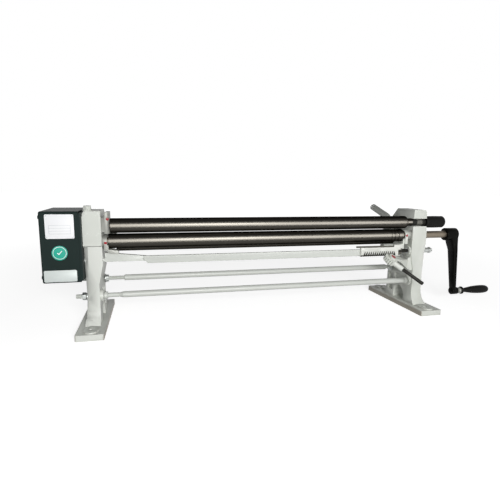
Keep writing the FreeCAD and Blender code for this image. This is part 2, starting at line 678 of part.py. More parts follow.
FOOT_GAP = 0.1
lower_block("lower_block_right", 1, "558", "570", "269", "14.5", "17.2", [
    (469, wedge_top(469, 1, FOOT_GAP)), (558, wedge_top(558, 1, FOOT_GAP)),
    (558, 290), (552, 290), (552, 268), (469, 267)])
lower_block("lower_block_left", -1, "571", "581", "273", "12", "14.5", [
    (-536, wedge_top(-536, -1, FOOT_GAP)), (-536, 271), (-567.8, 276), (-567.8, 290),
    (-571, 290), (-571, wedge_top(-571, -1, FOOT_GAP))])
group("lower_bush_right", [tube("X", 558, "roll_y", "lower_z", 17.2, 14.8, 34)])
group("lower_bush_left", [tube("X", -605, "roll_y", "lower_z", 14.5, 12.3, 34)])

# ---------------------------------------------------------------- swivel bearing of the top roll

swivel = new_body("swivel_block")
pad(swivel, "YZ", -577, "-top_left - 0.5", rect("roll_y - 22", 330, "roll_y + 22", 402))
round_edges(swivel, 12, "-top_left - 0.5", "roll_y - 22", 330, "-top_left - 0.5", "roll_y - 22", 402)
round_edges(swivel, 6, -577, "roll_y - 22", 402, "-top_left - 13", "roll_y + 22", 402)
WAIST = ("window_low + 0.3", "window_high - 0.3")
pad(swivel, "YZ", "pivot_x + 18", -576, rect("roll_y - 15", WAIST[0], "roll_y + 15", WAIST[1]))
pad(swivel, "YZ", "pivot_x - 12", "pivot_x + 18",
    rect("roll_y - 18", WAIST[0], "roll_y + 18", WAIST[1]))
cut(swivel, "YZ", "pivot_x - 15", "pivot_x + 16",
    rect("roll_y - 14.3", "top_z - 12.6", "roll_y + 14.3", "top_z + 12.6"))
cut(swivel, "YZ", "pivot_x + 15", -555, Circle("roll_y", "top_z", 11.5))
cut(swivel, "YZ", -590, -555, Circle("roll_y", "top_z", 14))
cut(swivel, "XY", "top_z", "window_high", Circle("pivot_x", "roll_y", 8.3))
cut(swivel, "XY", "window_low", "top_z - 5", Circle("pivot_x", "roll_y", 5.3))
group("top_bush", [tube("X", -590, "roll_y", "top_z", 14, 11.3, 29.5)])

# ---------------------------------------------------------------- crank

crank = new_body("crank_arm")
LOW_Z = "lower_z - crank_r"
pad(crank, "XZ", "roll_y - 25", "roll_y + 25", Outline(
    (786, "lower_z"), (805, "lower_z"), (829, LOW_Z), (815, LOW_Z)))
cut(crank, "YZ", 780, 835, Outline(
    ("roll_y - 26", "lower_z + 1"), ("roll_y - 24.5", "lower_z"), ("roll_y - 15", LOW_Z),
    ("roll_y - 15", LOW_Z + " - 1"), ("roll_y - 26", LOW_Z + " - 1")))
cut(crank, "YZ", 780, 835, Outline(
    ("roll_y + 26", "lower_z + 1"), ("roll_y + 24.5", "lower_z"), ("roll_y + 15", LOW_Z),
    ("roll_y + 15", LOW_Z + " - 1"), ("roll_y + 26", LOW_Z + " - 1")))
pad(crank, "YZ", 753.3, 805, Circle("roll_y", "lower_z", 24))
pad(crank, "YZ", 812, 842, Circle("roll_y", LOW_Z, 15))
cut(crank, "YZ", 780, 800.5, rect("roll_y - 11", 200, "roll_y + 11", 262))
cut(crank, "YZ", 750, 788, Circle("roll_y", "lower_z", 12))
cut(crank, "YZ", 818, 850, Circle("roll_y", LOW_Z, 7))
turned("crank_spindle", "roll_y", LOW_Z, [
    (818, 0), (818, 7), (842, 7), (842, 9), (850, 9), (850, 12.5), (857.5, 12.5), (857.5, 6),
    (984, 6), (984, 0)])
turned("crank_grip", "roll_y", LOW_Z, [
    (858, 6.3), (858, 16), (865, 16.5), (869, 12.5), (878, 10.8), (890, 12.5), (912, 16.8),
    (935, 17.5), (960, 16.8), (982, 14), (994, 9), (1000, 4), (1000, 0), (985, 0),
    (985, 6.3)])
cut(crank, "XY", "lower_z + 11", "lower_z + 26", Circle(770, "roll_y", 4))
group("crank_screw", [less(rod("Z", 770, "roll_y", "lower_z + 12", 4, 11.5),
                           hexagon("Z", 770, "roll_y", "lower_z + 19.5", 4, 5))])

# ---------------------------------------------------------------- pinch bar

bar = new_body("pinch_bar")
pad(bar, "XZ", "bar_front", "bar_back", Outline(
    ("14 - bar_left", "bar_low"), ("bar_right", "bar_low"), ("bar_right", "bar_high"),
    ("-bar_left", "bar_high"), ("-bar_left", "bar_low + 14")))
cut(bar, "YZ", "rack_left - 8", "bar_right + 1", Outline(
    ("bar_front - 1", "bar_low - 1"), ("bar_front + 4", "bar_low - 1"), ("bar_front - 1", "bar_low + 7")))

wedge = new_body("wedge_left")
pad(wedge, "XZ", "bar_back", "bar_back + 12", Outline(
    (-581, 232), (-440, 232), (-440, wedge_top(-440, -1, 0)), (-581, wedge_top(-581, -1, 0))))
wedge = new_body("wedge_right")
pad(wedge, "XZ", "bar_back", "bar_back + 12", Outline(
    (466, 227), (556, 227), (556, wedge_top(556, 1, 0)), (466, wedge_top(466, 1, 0))))

TAIL_R = 3.5
for label, shoulder, reach, inner in (("guide_stud_right", 556, 698, 540),
                                      ("guide_stud_left", -581, -644, -565)):
    stud = new_body(label)
    lo, hi = min(shoulder, reach), max(shoulder, reach)
    pad(stud, "YZ", lo, hi, Circle("roll_y", "stud_z", "stud_r"))
    lo, hi = min(shoulder, inner), max(shoulder, inner)
    pad(stud, "YZ", lo, hi, Circle("roll_y", "stud_z", TAIL_R))
for label, lo, hi in (("wedge_right", 539.5, 557), ("wedge_left", -582, -564.5)):
    cut(doc.getObject(label), "YZ", lo, hi, Circle("roll_y", "stud_z", TAIL_R))
group("stud_sleeves", [tube("X", "frame_in - 5", "roll_y", "stud_z", "sleeve_r", "stud_r + 0.3", 98),
                       tube("X", "-frame_out", "roll_y", "stud_z", "sleeve_r", "stud_r + 0.3",
                            "frame_out - frame_in")])
group("stud_nut", [nut(681, "roll_y", "stud_z", 22, 9, "stud_r")])

# ---------------------------------------------------------------- rack and pinion lever

DELTA = math.radians(num("tooth_slant"))
LEAN = math.radians(num("face_lean"))
# pinion axis, and the two directions across it: along the rack, and towards the rack
AXIS = FreeCAD.Vector(math.sin(DELTA), -math.sin(LEAN) * math.cos(DELTA),
                      math.cos(LEAN) * math.cos(DELTA))
TO_RACK = FreeCAD.Vector(0, math.cos(LEAN), math.sin(LEAN))
ALONG = TO_RACK.cross(AXIS)
MODULE = num("rack_module")
PITCH_R = MODULE * num("pinion_teeth") / 2
PITCH_POINT = FreeCAD.Vector(num("pitch_x"), num("pitch_y"), num("pitch_z"))
PINION_CENTRE = PITCH_POINT - TO_RACK * PITCH_R
LOCAL = FreeCAD.Placement(PINION_CENTRE, FreeCAD.Rotation(ALONG, TO_RACK, AXIS, "ZXY"))
LEVER_ANGLE = math.radians(-45.2)
LEVER_LEVEL = -10
LEVER_WAY = FreeCAD.Vector(math.cos(LEVER_ANGLE), math.sin(LEVER_ANGLE), 0)


def tilted_node(label, shape):
    """A node made about the pinion's own axes and then set in place."""
    thing = doc.addObject("Part::Feature", label)
    thing.Shape = shape
    thing.Placement = LOCAL
    return node(label, thing)


def prism_of(points, low, high):
    """A prism along the pinion axis through (along, towards) corners."""
    corners = [FreeCAD.Vector(u, v, low) for u, v in points]
    face = Part.Face(Part.makePolygon(corners + corners[:1]))
    return face.extrude(FreeCAD.Vector(0, 0, high - low))


TOOTH_PITCH = math.pi * MODULE
PRESSURE = math.tan(math.radians(20))
PLAY = 0.12
rack = new_body("rack_plate_blank")
nodes.remove(rack)
pad(rack, "XZ", "rack_front", "bar_front", Outline(
    ("rack_left", "rack_low"), ("rack_right", "rack_low"), ("rack_right", 226), (549, 226),
    (549, 248), (559, 248), (559, 267), (519, 267), (513, "rack_high"),
    ("rack_left", "rack_high")))
rack_shape = rack.Shape.copy()
tip = PITCH_R - MODULE
root = PITCH_R + 1.28 * MODULE
wide = TOOTH_PITCH / 4 + (MODULE + 1) * PRESSURE + PLAY
narrow = TOOTH_PITCH / 4 - (root - PITCH_R) * PRESSURE + PLAY
span = 560
face_cut = prism_of([(-span, tip), (span, tip), (span, tip - 30), (-span, tip - 30)], -60, 60)
face_cut.Placement = LOCAL
rack_end = Part.makeBox(60, 40, 60, FreeCAD.Vector(num("rack_right") - 16, -130, 210))
rack_shape = rack_shape.cut(face_cut.cut(rack_end))
for count in range(-12, 3):
    middle = count * TOOTH_PITCH
    level = middle * math.tan(DELTA)
    gap = prism_of([(middle - wide, tip - 1), (middle + wide, tip - 1),
                    (middle + narrow, root), (middle - narrow, root)], level - 14, level + 24)
    gap.Placement = LOCAL
    rack_shape = rack_shape.cut(gap)
RACK_SCREW_X = (385, 450, 515)
for screw_x in RACK_SCREW_X[:2]:
    rack_shape = rack_shape.cut(cylinder(screw_x, -103, 253.5, 2.5, 12, FreeCAD.Vector(0, 1, 0)))
    rack_shape = rack_shape.cut(cylinder(screw_x, -103, 253.5, 4.4, 4, FreeCAD.Vector(0, 1, 0)))
solid_node("rack_plate", rack_shape)
group("rack_screws", [
    less(joined(rod("Y", x, "rack_front + 0.6", 253.5, 4.3, 2.4),
                rod("Y", x, "rack_front + 2.9", 253.5, 2.5, 7.1)),
         hexagon("Y", x, "rack_front - 1", 253.5, 3.5, 2.8)) for x in RACK_SCREW_X[:2]])
keeper = new_body("rack_keeper")
pad(keeper, "XZ", "rack_front + 1", "bar_front", Outline(
    (345, 259), (505, 259), (505, 264.5), (345, 264.5)))

pinion = gear_face(MODULE, int(num("pinion_teeth")), -0.03, 10)
pinion = pinion.extrude(FreeCAD.Vector(0, 0, 20))
pinion.translate(FreeCAD.Vector(0, 0, -18))
socket_start = LEVER_WAY * 4 + FreeCAD.Vector(0, 0, LEVER_LEVEL)
socket = Part.makeCylinder(9.8, 52, socket_start, LEVER_WAY)
core = Part.makeCylinder(20, 20, FreeCAD.Vector(0, 0, -21))
# no teeth where the socket leaves the pinion
bare = [(0, 0), (40, -18), (40, -60), (-8, -60)]
pinion = pinion.cut(prism_of(bare, -25, 5)).fuse([core, Part.makeCylinder(
    21, 20, FreeCAD.Vector(0, 0, -18)), socket])
pinion = pinion.cut(Part.makeCylinder(8.3, 40, FreeCAD.Vector(0, 0, -30)))
pinion = pinion.cut(Part.makeCylinder(7, 40, socket_start + LEVER_WAY * 26, LEVER_WAY))
tilted_node("pinion_lever", pinion.removeSplitter())
lever_rod = Part.makeCylinder(7, 114.7, socket_start + LEVER_WAY * 26.5, LEVER_WAY)
lever_tip = Part.makeCone(7, 5.4, 3.6, socket_start + LEVER_WAY * 141.2, LEVER_WAY)
tilted_node("lever_rod", lever_rod.fuse(lever_tip).removeSplitter())

pin_shape = Part.makeCylinder(8, 33.5, FreeCAD.Vector(0, 0, -24.5))
collar = Part.makeCylinder(12, 3, FreeCAD.Vector(0, 0, -24.5))
tilted_node("lever_pivot_pin", pin_shape.fuse(collar).removeSplitter())
tilted_node("lever_cap", Part.makeCylinder(9.5, 2.6, FreeCAD.Vector(0, 0, 9)))

# bracket: ring over the pinion, bar clear of it, then a web down to a flange on the frame
HUB_LOW = 2.5
HUB_HIGH = 11
arm_start, arm_end = 0, 36
ring = Part.makeCylinder(16, HUB_HIGH - HUB_LOW, FreeCAD.Vector(0, 0, HUB_LOW))
flat = Part.makeBox(arm_end, 22, HUB_HIGH - HUB_LOW, FreeCAD.Vector(arm_start, -11, HUB_LOW))
ring = ring.fuse(flat)
ring.Placement = LOCAL
near = [LOCAL.multVec(FreeCAD.Vector(arm_end - 0.2, v, s))
        for v, s in ((-11, HUB_LOW), (11, HUB_LOW), (11, HUB_HIGH), (-11, HUB_HIGH))]
flange_x = num("frame_in") - 12
far = [FreeCAD.Vector(flange_x, num(y), z)
       for y, z in (("roll_y - 20", 170), ("roll_y + 8", 170),
                    ("roll_y + 8", 206), ("roll_y - 20", 206))]
web = Part.makeLoft([Part.makePolygon(near + near[:1]), Part.makePolygon(far + far[:1])], True)
flange = Part.makeBox(12, num("54 - 4"), 46, FreeCAD.Vector(flange_x, num("front + 2"), 167))
bracket = ring.fuse([web, flange])
hole = Part.makeCylinder(8, 40, FreeCAD.Vector(0, 0, -20))
cap_hole = Part.makeCylinder(9.5, 10, FreeCAD.Vector(0, 0, 9))
for tool in (hole, cap_hole):
    tool.Placement = LOCAL
    bracket = bracket.cut(tool)
bracket_screws = []
for screw_y in ("front + 14", "roll_y + 22"):
    bracket = bracket.cut(cylinder(flange_x - 1, num(screw_y), 190, 4, 20))
    bracket = bracket.cut(cylinder(flange_x - 40, num(screw_y), 190, 7.2, 40))
    head = hexagon("X", flange_x - 6.1, screw_y, 190, 11, 6)
    bracket_screws.append(joined(head, rod("X", flange_x - 0.1, screw_y, 190, 4, 30)))
solid_node("lever_bracket", bracket)
group("bracket_screws", bracket_screws)

# ---------------------------------------------------------------- bending roll and its lever

turned("rear_roll", "rear_y", "rear_z", [
    (-573, 0), (-573, 9), (-572, 10), ("-rear_half", 10), ("-rear_half", "roll_r - 2"),
    ("2 - rear_half", "roll_r"), ("rear_half - 2", "roll_r"), ("rear_half", "roll_r - 2"),
    ("rear_half", 10), (572, 10), (573, 9), (573, 0)])
turned("bending_shaft", "shaft_y", "shaft_z", [
    (-640, 0), (-640, "shaft_r"), (640, "shaft_r"), (640, 0)])

REAR = ("rear_y", "rear_z")
SHAFT = ("shaft_y", "shaft_z")
reach_y = num("rear_y - shaft_y")
reach_z = num("rear_z - shaft_z")
reach = math.hypot(reach_y, reach_z)
out_y, out_z = reach_y / reach, reach_z / reach


def beside(centre, distance):
    """Corner beside the arm's line, given as a centre and a distance across it."""
    return ("%s + %.4f" % (centre[0], -out_z * distance),
            "%s + %.4f" % (centre[1], out_y * distance))


# stop pins just under the arms' middle, which carry the rear roll at rest
STOP = beside(("(rear_y + shaft_y) / 2", "(rear_z + shaft_z) / 2"), 20.3)


def bending_arm(label, side):
    """Arm that carries one end of the rear roll on the bending shaft."""
    body = new_body(label)
    lo, hi = mirrored(side, 554, 574)
    pad(body, "YZ", lo, hi, Outline(
        beside(SHAFT, 16), beside(REAR, 14), beside(REAR, -14), beside(SHAFT, -16)))
    pad(body, "YZ", lo, hi, Circle(*REAR, 17))
    pad(body, "YZ", *mirrored(side, 550, 582), Circle(*SHAFT, 24))
    cut(body, "YZ", *mirrored(side, 540, 590), Circle(*SHAFT, "shaft_r"))
    cut(body, "YZ", *mirrored(side, 540, 590), Circle(*REAR, 13))
    return body


bending_arm("bending_arm_left", -1)
arm = bending_arm("bending_arm_right", 1)
cut(arm, "XY", "shaft_z + 14", "shaft_z + 30", Circle(566, "shaft_y + 4", 10))
group("rear_roll_bushes", [tube("X", x, *REAR, 13, 10.3, 20) for x in (554, -574)])
group("shaft_bushes", [tube("X", "frame_in", *SHAFT, "shaft_r + 3.5", "shaft_r + 0.3", 54),
                       tube("X", "-frame_in - 54", *SHAFT, "shaft_r + 3.5", "shaft_r + 0.3", 54)])
group("bending_stops", [
    joined(rod("X", 556, *STOP, 5, "frame_in - 556"), rod("X", "frame_in", *STOP, 4, 12)),
    joined(rod("X", "-frame_in", *STOP, 5, "frame_in - 556"),
           rod("X", "-frame_in - 12", *STOP, 4, 12))])
for frame, x in ((right, "frame_in"), (left, "-frame_in - 13")):
    cut(frame, "YZ", x, x + " + 13", Circle(*STOP, 4))

LEVER_X = 566
LEVER_R = 14
BEND_R = 34
LEVER_SLOPE = math.radians(15.8)
lever_y = num("shaft_y + 4")
lever_root = num("shaft_z + 20")
bend_start = num("shaft_z + 36")
# upright out of the hub, a bend towards the rear, then a straight handle
turn_angle = math.pi / 2 - LEVER_SLOPE
centre_y = lever_y + BEND_R
half_turn = turn_angle / 2
bend = Part.Arc(
    FreeCAD.Vector(LEVER_X, lever_y, bend_start),
    FreeCAD.Vector(LEVER_X, centre_y - BEND_R * math.cos(half_turn),
                   bend_start + BEND_R * math.sin(half_turn)),
    FreeCAD.Vector(LEVER_X, centre_y - BEND_R * math.cos(turn_angle),
                   bend_start + BEND_R * math.sin(turn_angle))).toShape()
bend_end = bend.valueAt(bend.LastParameter)
handle_way = FreeCAD.Vector(0, math.cos(LEVER_SLOPE), math.sin(LEVER_SLOPE))
upright = Part.makeLine(FreeCAD.Vector(LEVER_X, lever_y, lever_root), bend.valueAt(bend.FirstParameter))
handle = Part.makeLine(bend_end, bend_end + handle_way * 126)
section = Part.Wire([Part.makeCircle(LEVER_R, FreeCAD.Vector(LEVER_X, lever_y, lever_root), UP)])
lever = Part.Wire([upright, bend, handle]).makePipeShell([section], True, False)
end_edge = [edge for edge in lever.Edges
            if edge.BoundBox.YMin > bend_end.y + 100 and edge.Closed]
lever = lever.makeFillet(LEVER_R - 2, end_edge)
clear_of_hub = Part.makeCylinder(24, 40, FreeCAD.Vector(
    LEVER_X - 20, num("shaft_y"), num("shaft_z")), FreeCAD.Vector(1, 0, 0))
root_pin = cylinder(LEVER_X, lever_y, num("shaft_z + 14"), 10, 14, UP)
solid_node("rear_lever", lever.cut(clear_of_hub).fuse(root_pin))

# ---------------------------------------------------------------- checks and export

doc.recompute()
for thing in doc.Objects:
    if "Invalid" in thing.State or "Error" in thing.State:
        raise ValueError("%s is %s" % (thing.Label, thing.State))
os.makedirs("parts", exist_ok=True)
for thing in nodes:
    shape = thing.Shape
    if shape.isNull() or not shape.isValid() or shape.Volume <= 0:
        raise ValueError("%s has no sound shape" % thing.Label)
    shape.exportStep("parts/%s.step" % thing.Label)
    print("%-20s %2d solids %10.0f mm3" % (thing.Label, len(shape.Solids), shape.Volume))
print(len(nodes), "nodes")
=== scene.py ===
"""Looks, light and camera for the slip roll machine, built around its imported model."""
import json
import logging
import math
from collections.abc import Callable
from dataclasses import dataclass
from enum import Enum
from functools import cache

import bmesh
import bpy
import numpy as np
from mathutils import Matrix, Vector

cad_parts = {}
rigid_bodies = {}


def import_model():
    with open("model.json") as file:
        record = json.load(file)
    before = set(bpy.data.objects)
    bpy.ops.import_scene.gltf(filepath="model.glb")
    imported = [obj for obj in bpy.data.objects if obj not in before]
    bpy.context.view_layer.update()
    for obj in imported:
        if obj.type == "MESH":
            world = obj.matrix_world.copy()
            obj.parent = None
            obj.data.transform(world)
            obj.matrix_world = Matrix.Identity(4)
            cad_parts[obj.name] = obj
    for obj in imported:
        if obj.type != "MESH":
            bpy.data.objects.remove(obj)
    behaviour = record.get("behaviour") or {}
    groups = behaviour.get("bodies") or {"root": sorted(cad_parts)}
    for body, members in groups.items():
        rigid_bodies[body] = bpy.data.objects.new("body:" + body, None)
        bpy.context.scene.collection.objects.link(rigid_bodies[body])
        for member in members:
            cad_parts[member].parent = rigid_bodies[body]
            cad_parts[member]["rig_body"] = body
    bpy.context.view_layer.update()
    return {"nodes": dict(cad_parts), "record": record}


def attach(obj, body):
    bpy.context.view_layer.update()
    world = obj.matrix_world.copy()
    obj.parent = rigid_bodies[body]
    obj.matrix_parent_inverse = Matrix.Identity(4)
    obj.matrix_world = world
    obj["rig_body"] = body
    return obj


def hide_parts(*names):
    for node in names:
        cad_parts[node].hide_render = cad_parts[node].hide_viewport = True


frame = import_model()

log = logging.getLogger("slip_roll")
Pair = tuple[float, float]
Point = tuple[float, float, float]
Shape = tuple[np.ndarray, list]
Choice = Callable[[np.ndarray, np.ndarray], np.ndarray]
Change = Callable[[np.ndarray, np.ndarray, np.ndarray], tuple]

MM = 0.001
ROLL_Y = -76.0  # plane of the top and lower roll's axes
TOP_Z = 355.0  # height of the top roll's axis
LOW_Z = 303.0  # height of the lower roll's axis
ON_AXIS = 0.01  # radius at which a profile closes
COARSE = 1.75  # pitch of the threads
SHARP, BROKEN, LEVEL = 38, 32, 0.6  # degrees between faces: shaded sharp, rounded, made one
ALONG_X, TO_FRONT, UPWARDS = (1.0, 0.0, 0.0), (0.0, -1.0, 0.0), (0.0, 0.0, 1.0)


# ---------------------------------------------------------------- finishes

def linear(colour: str) -> tuple[float, float, float, float]:
    """Turns an sRGB hex colour into linear light.

    Args:
        colour: A hash and six hex digits.

    Returns:
        Red, green, blue and an alpha of 1.
    """
    values = [int(colour[start:start + 2], 16) / 255 for start in (1, 3, 5)]
    return (*(v / 12.92 if v <= 0.04045 else ((v + 0.055) / 1.055) ** 2.4 for v in values), 1.0)


def add(tree: bpy.types.NodeTree, kind: str, inputs: dict | None = None,
        **settings: object) -> bpy.types.Node:
    """Adds one node with its settings and links.

    Args:
        tree: Node tree that gets the node.
        kind: Blender's name of the node type.
        inputs: Values or sockets for the node's inputs, by name or index.
        settings: Attributes of the node itself.

    Returns:
        The new node.
    """
    node = tree.nodes.new(kind)
    for name, value in settings.items():
        setattr(node, name, value)
    for name, value in (inputs or {}).items():
        if isinstance(value, bpy.types.NodeSocket):
            tree.links.new(value, node.inputs[name])
        else:
            node.inputs[name].default_value = value
    return node


class Marks(Enum):
    """How a surface was made, as stretches of its grain along X, Y and Z."""

    CAST = (1.0, 1.0, 1.0)
    GROUND_ROUND = (1.0, 0.03, 0.03)
    DRAWN_ALONG = (0.02, 1.0, 1.0)
    MILLED_ACROSS = (1.0, 0.05, 0.05)


@dataclass(frozen=True)
class Finish:
    """One finish: its colours, gloss, grain and wear, and where given, painted light and shade.

    Attributes:
        name: Common name of the material, in a maker's words.
        colour: Main sRGB colour.
        shade: Second sRGB colour, which drifts through the main one.
        drift_mm: Size of that drift.
        metallic: 1 for uncoated metal.
        roughness: Typical roughness.
        grain_mm: Size of the grain.
        depth_mm: Height of the grain.
        spread: How far the roughness wanders.
        marks: Direction of the grain.
        coat: Clear or glossy top layer.
        wear_and_highlight: sRGB colour of the convex edges, lighter as rubbed wear and as painted
            highlight, or nothing.
        edge: sRGB colour of a metal's reflection near its outline, or nothing for white.
        painted_low_shade: sRGB colour of painted shade low on sideways faces near the floor, or
            nothing.
        sheen: Specular level of a paint or plastic.
    """

    name: str
    colour: str
    shade: str
    drift_mm: float
    metallic: float
    roughness: float
    grain_mm: float
    depth_mm: float
    spread: float = 0.05
    marks: Marks = Marks.CAST
    coat: float = 0.0
    wear_and_highlight: str = ""
    edge: str = ""
    painted_low_shade: str = ""
    sheen: float = 0.5

    @cache
    def material(self) -> bpy.types.Material:
        """Builds the node material on first use.

        Returns:
            The material, named for the finish.
        """
        made = bpy.data.materials.new(self.name)
        made.use_nodes = True
        tree = made.node_tree
        shader = tree.nodes["Principled BSDF"]
        place = add(tree, "ShaderNodeTexCoord").outputs["Object"]
        drift = add(tree, "ShaderNodeTexNoise", {
            "Vector": place, "Scale": 1 / (self.drift_mm * MM), "Detail": 3.0})
        colour = add(tree, "ShaderNodeMix", {
            0: drift.outputs[0], 6: linear(self.colour), 7: linear(self.shade)},
            data_type="RGBA").outputs[2]
        if self.wear_and_highlight:
            # rubbed wear and painted highlight: the colour of the sharp convex edges of a casting
            # lightens
            edge = add(tree, "ShaderNodeNewGeometry").outputs["Pointiness"]
            edge = add(tree, "ShaderNodeMapRange", {
                "Value": edge, "From Min": 0.53, "From Max": 0.62, "To Max": 0.6})
            colour = add(tree, "ShaderNodeMix", {
                0: edge.outputs[0], 6: colour, 7: linear(self.wear_and_highlight)}, data_type="RGBA").outputs[2]
        if self.painted_low_shade:
            # painted shade near the floor: as far as the face looks sideways, times a ramp from
            # the tops of the feet down to the floor
            height = add(tree, "ShaderNodeSeparateXYZ", {0: place}).outputs[2]
            low = add(tree, "ShaderNodeMapRange", {
                "Value": height, "From Min": 26 * MM, "From Max": 14 * MM, "To Max": 1.0})
            normal = add(tree, "ShaderNodeNewGeometry").outputs["Normal"]
            side = add(tree, "ShaderNodeSeparateXYZ", {0: normal}).outputs[0]
            side = add(tree, "ShaderNodeMath", {0: side}, operation="ABSOLUTE").outputs[0]
            low_shade = add(tree, "ShaderNodeMath", {0: side, 1: low.outputs[0]}, operation="MULTIPLY")
            colour = add(tree, "ShaderNodeMix", {
                0: low_shade.outputs[0], 6: colour, 7: linear(self.painted_low_shade)}, data_type="RGBA").outputs[2]
        tree.links.new(colour, shader.inputs["Base Color"])
        grain_place = add(tree, "ShaderNodeMapping", {
            "Vector": place, "Scale": self.marks.value}).outputs[0]
        grain = add(tree, "ShaderNodeTexNoise", {
            "Vector": grain_place, "Scale": 1 / (self.grain_mm * MM), "Detail": 4.0})
        gloss = add(tree, "ShaderNodeMapRange", {
            "Value": grain.outputs[0], "From Min": 0.3, "From Max": 0.7,
            "To Min": self.roughness - self.spread, "To Max": self.roughness + self.spread})
        tree.links.new(gloss.outputs[0], shader.inputs["Roughness"])
        relief = add(tree, "ShaderNodeBump", {
            "Height": grain.outputs[0], "Distance": self.depth_mm * MM, "Strength": 1.0})
        tree.links.new(relief.outputs[0], shader.inputs["Normal"])
        settings = {"Metallic": self.metallic, "Specular IOR Level": self.sheen}
        if self.edge:
            settings["Specular Tint"] = linear(self.edge)
        if self.coat:
            settings |= {"Coat Weight": self.coat, "Coat Roughness": 0.2}
        for socket, value in settings.items():
            shader.inputs[socket].default_value = value
        return made


# Grey-green machine enamel, brushed on cast iron: satin, a little uneven over the sand-cast skin.
# Its edges are lighter, partly as wear and partly as painted highlight; painted shade darkens the
# feet's sideways faces near the floor.
MACHINE_ENAMEL = Finish("machine_enamel_on_casting", "#D3D6CF", "#CBCEC6", 60, 0, 0.5, 2.2, 0.05,
    spread=0.06, coat=0.05, wear_and_highlight="#DDDFD9", painted_low_shade="#A39D90")
# Black stove enamel on folded sheet: nearly even, with a faint orange peel.
# Its edges are lighter, partly as wear and partly as painted highlight.
CASE_ENAMEL = Finish("black_stove_enamel", "#222D2B", "#26312F", 80, 0, 0.42, 1.2, 0.015,
    spread=0.04, wear_and_highlight="#303A39", sheen=0.05)
# Plain iron casting, machined and oiled: mid grey, dull.
# Dull iron grey, darker than the enamel: painted shade on the swivel, left lower block, right
# boss.
SHADED_BEARING_IRON = Finish("iron_grey_in_painted_shade", "#A3A49E", "#94958F", 12, 0.35, 0.5, 1.5, 0.02,
    spread=0.06)
# Right-hand bearing block under the same enamel as the frames, pale and plain.
BLOCK_ENAMEL = Finish("enamelled_bearing_block", "#DADDD6", "#D2D5CE", 30, 0, 0.45, 2.0, 0.04)
# Roll steel, ground round and oiled: dark, with one long bright reflection and fine rings.
ROLL_STEEL = Finish("ground_roll_steel", "#403E3A", "#3A3834", 160, 1, 0.29, 9.0, 0.00008,
    spread=0.01, marks=Marks.GROUND_ROUND, edge="#4A4844")
# Lower roll's journal and crank shaft: the same steel, dry and browned with handling.
SHAFT_STEEL = Finish("browned_shaft_steel", "#8A8072", "#7C7366", 20, 0.8, 0.42, 1.6, 0.004,
    marks=Marks.GROUND_ROUND)
# Bright drawn steel bar: pale, streaked lengthwise by the die.
DRAWN_STEEL = Finish("bright_drawn_steel", "#B4B5B0", "#A9AAA5", 70, 0.5, 0.48, 1.2, 0.008,
    marks=Marks.DRAWN_ALONG)
# Pinch bar and tie rods under a coat of pale grey enamel, smooth over the drawn bar.
PAINTED_ROD = Finish("enamelled_drawn_bar", "#D0D3CD", "#C8CBC5", 90, 0, 0.4, 1.6, 0.01,
    marks=Marks.DRAWN_ALONG, coat=0.1)
# Surface-ground gauge plate for the rack: almost white.
GAUGE_PLATE = Finish("surface_ground_plate", "#E2E3DD", "#D8D9D3", 30, 0.15, 0.45, 1.0, 0.006,
    marks=Marks.MILLED_ACROSS)
# Wedges and rack keeper: brown black steel, also painted shade under the lower roll.
SHADED_DARK_PLATE = Finish("dark_plate_and_painted_shade", "#5A5850", "#4C4A43", 14, 0.4, 0.5, 1.2, 0.01,
    spread=0.06, marks=Marks.DRAWN_ALONG)
# Heat-blackened steel of screws, studs and the lever rod: charcoal, slightly oily.
BLACK_OXIDE = Finish("black_oxide_steel", "#2C2C29", "#252522", 8, 0.3, 0.42, 0.8, 0.008,
    spread=0.06, marks=Marks.DRAWN_ALONG, sheen=0.15)
# Near black painted shade in the gaps between the rack's teeth.
GAP_SHADE = Finish("painted_gap_shade", "#3A3A35", "#2E2E2A", 5, 0, 0.45, 1.2, 0.01, spread=0.06,
    sheen=0.3)
# Galvanised pipe of the rear lever, dull mid grey: darker than the enamel as painted shade.
LEVER_PIPE_SHADED = Finish("lever_pipe_in_painted_shade", "#A2A49F", "#969893", 18, 0.2, 0.5, 3.0, 0.01,
    spread=0.06)
# Zinc-plated fasteners: cool pale grey.
ZINC_PLATE = Finish("zinc_plated_steel", "#C4C7C4", "#AEB2B0", 6, 0.8, 0.4, 0.9, 0.01, spread=0.07)
# Hobbed gears and their plate: darker machined steel under a film of grease.
GEAR_STEEL = Finish("greased_gear_steel", "#6E6D68", "#5A5952", 9, 0.9, 0.36, 0.9, 0.01,
    spread=0.09, marks=Marks.MILLED_ACROSS)
# Turned bearing bronze: warm brown gold.
BRONZE = Finish("turned_bronze", "#A88350", "#93703F", 10, 1, 0.36, 0.7, 0.006, spread=0.06,
    marks=Marks.GROUND_ROUND)
# Knurled journal sleeve: pale steel and near black mottled at random, as painted crest glints.
SLEEVE_STEEL = Finish("knurled_steel", "#8A8982", "#3A3934", 2.6, 0.7, 0.4, 1.2, 0.02, spread=0.1)
# Moulded phenolic of both grips: black with a soft sheen.
PHENOLIC = Finish("moulded_phenolic", "#1A1A19", "#20201F", 25, 0, 0.36, 1.4, 0.008, spread=0.04,
    sheen=0.06)
# Gloss black enamel on the cast crank: even, with wide soft highlights over the sand-cast skin.
# Its edges are lighter, partly as wear and partly as painted highlight.
CRANK_ENAMEL = Finish("gloss_black_enamel", "#0C0C0A", "#11110F", 30, 0, 0.24, 5.0, 0.05,
    wear_and_highlight="#1C1B18", sheen=0.06)
# Moulded plastic of the oil plugs: plain red, softly shining.
RED_PLUG = Finish("red_moulded_plug", "#A51D29", "#981924", 4, 0, 0.4, 0.7, 0.005, spread=0.04)
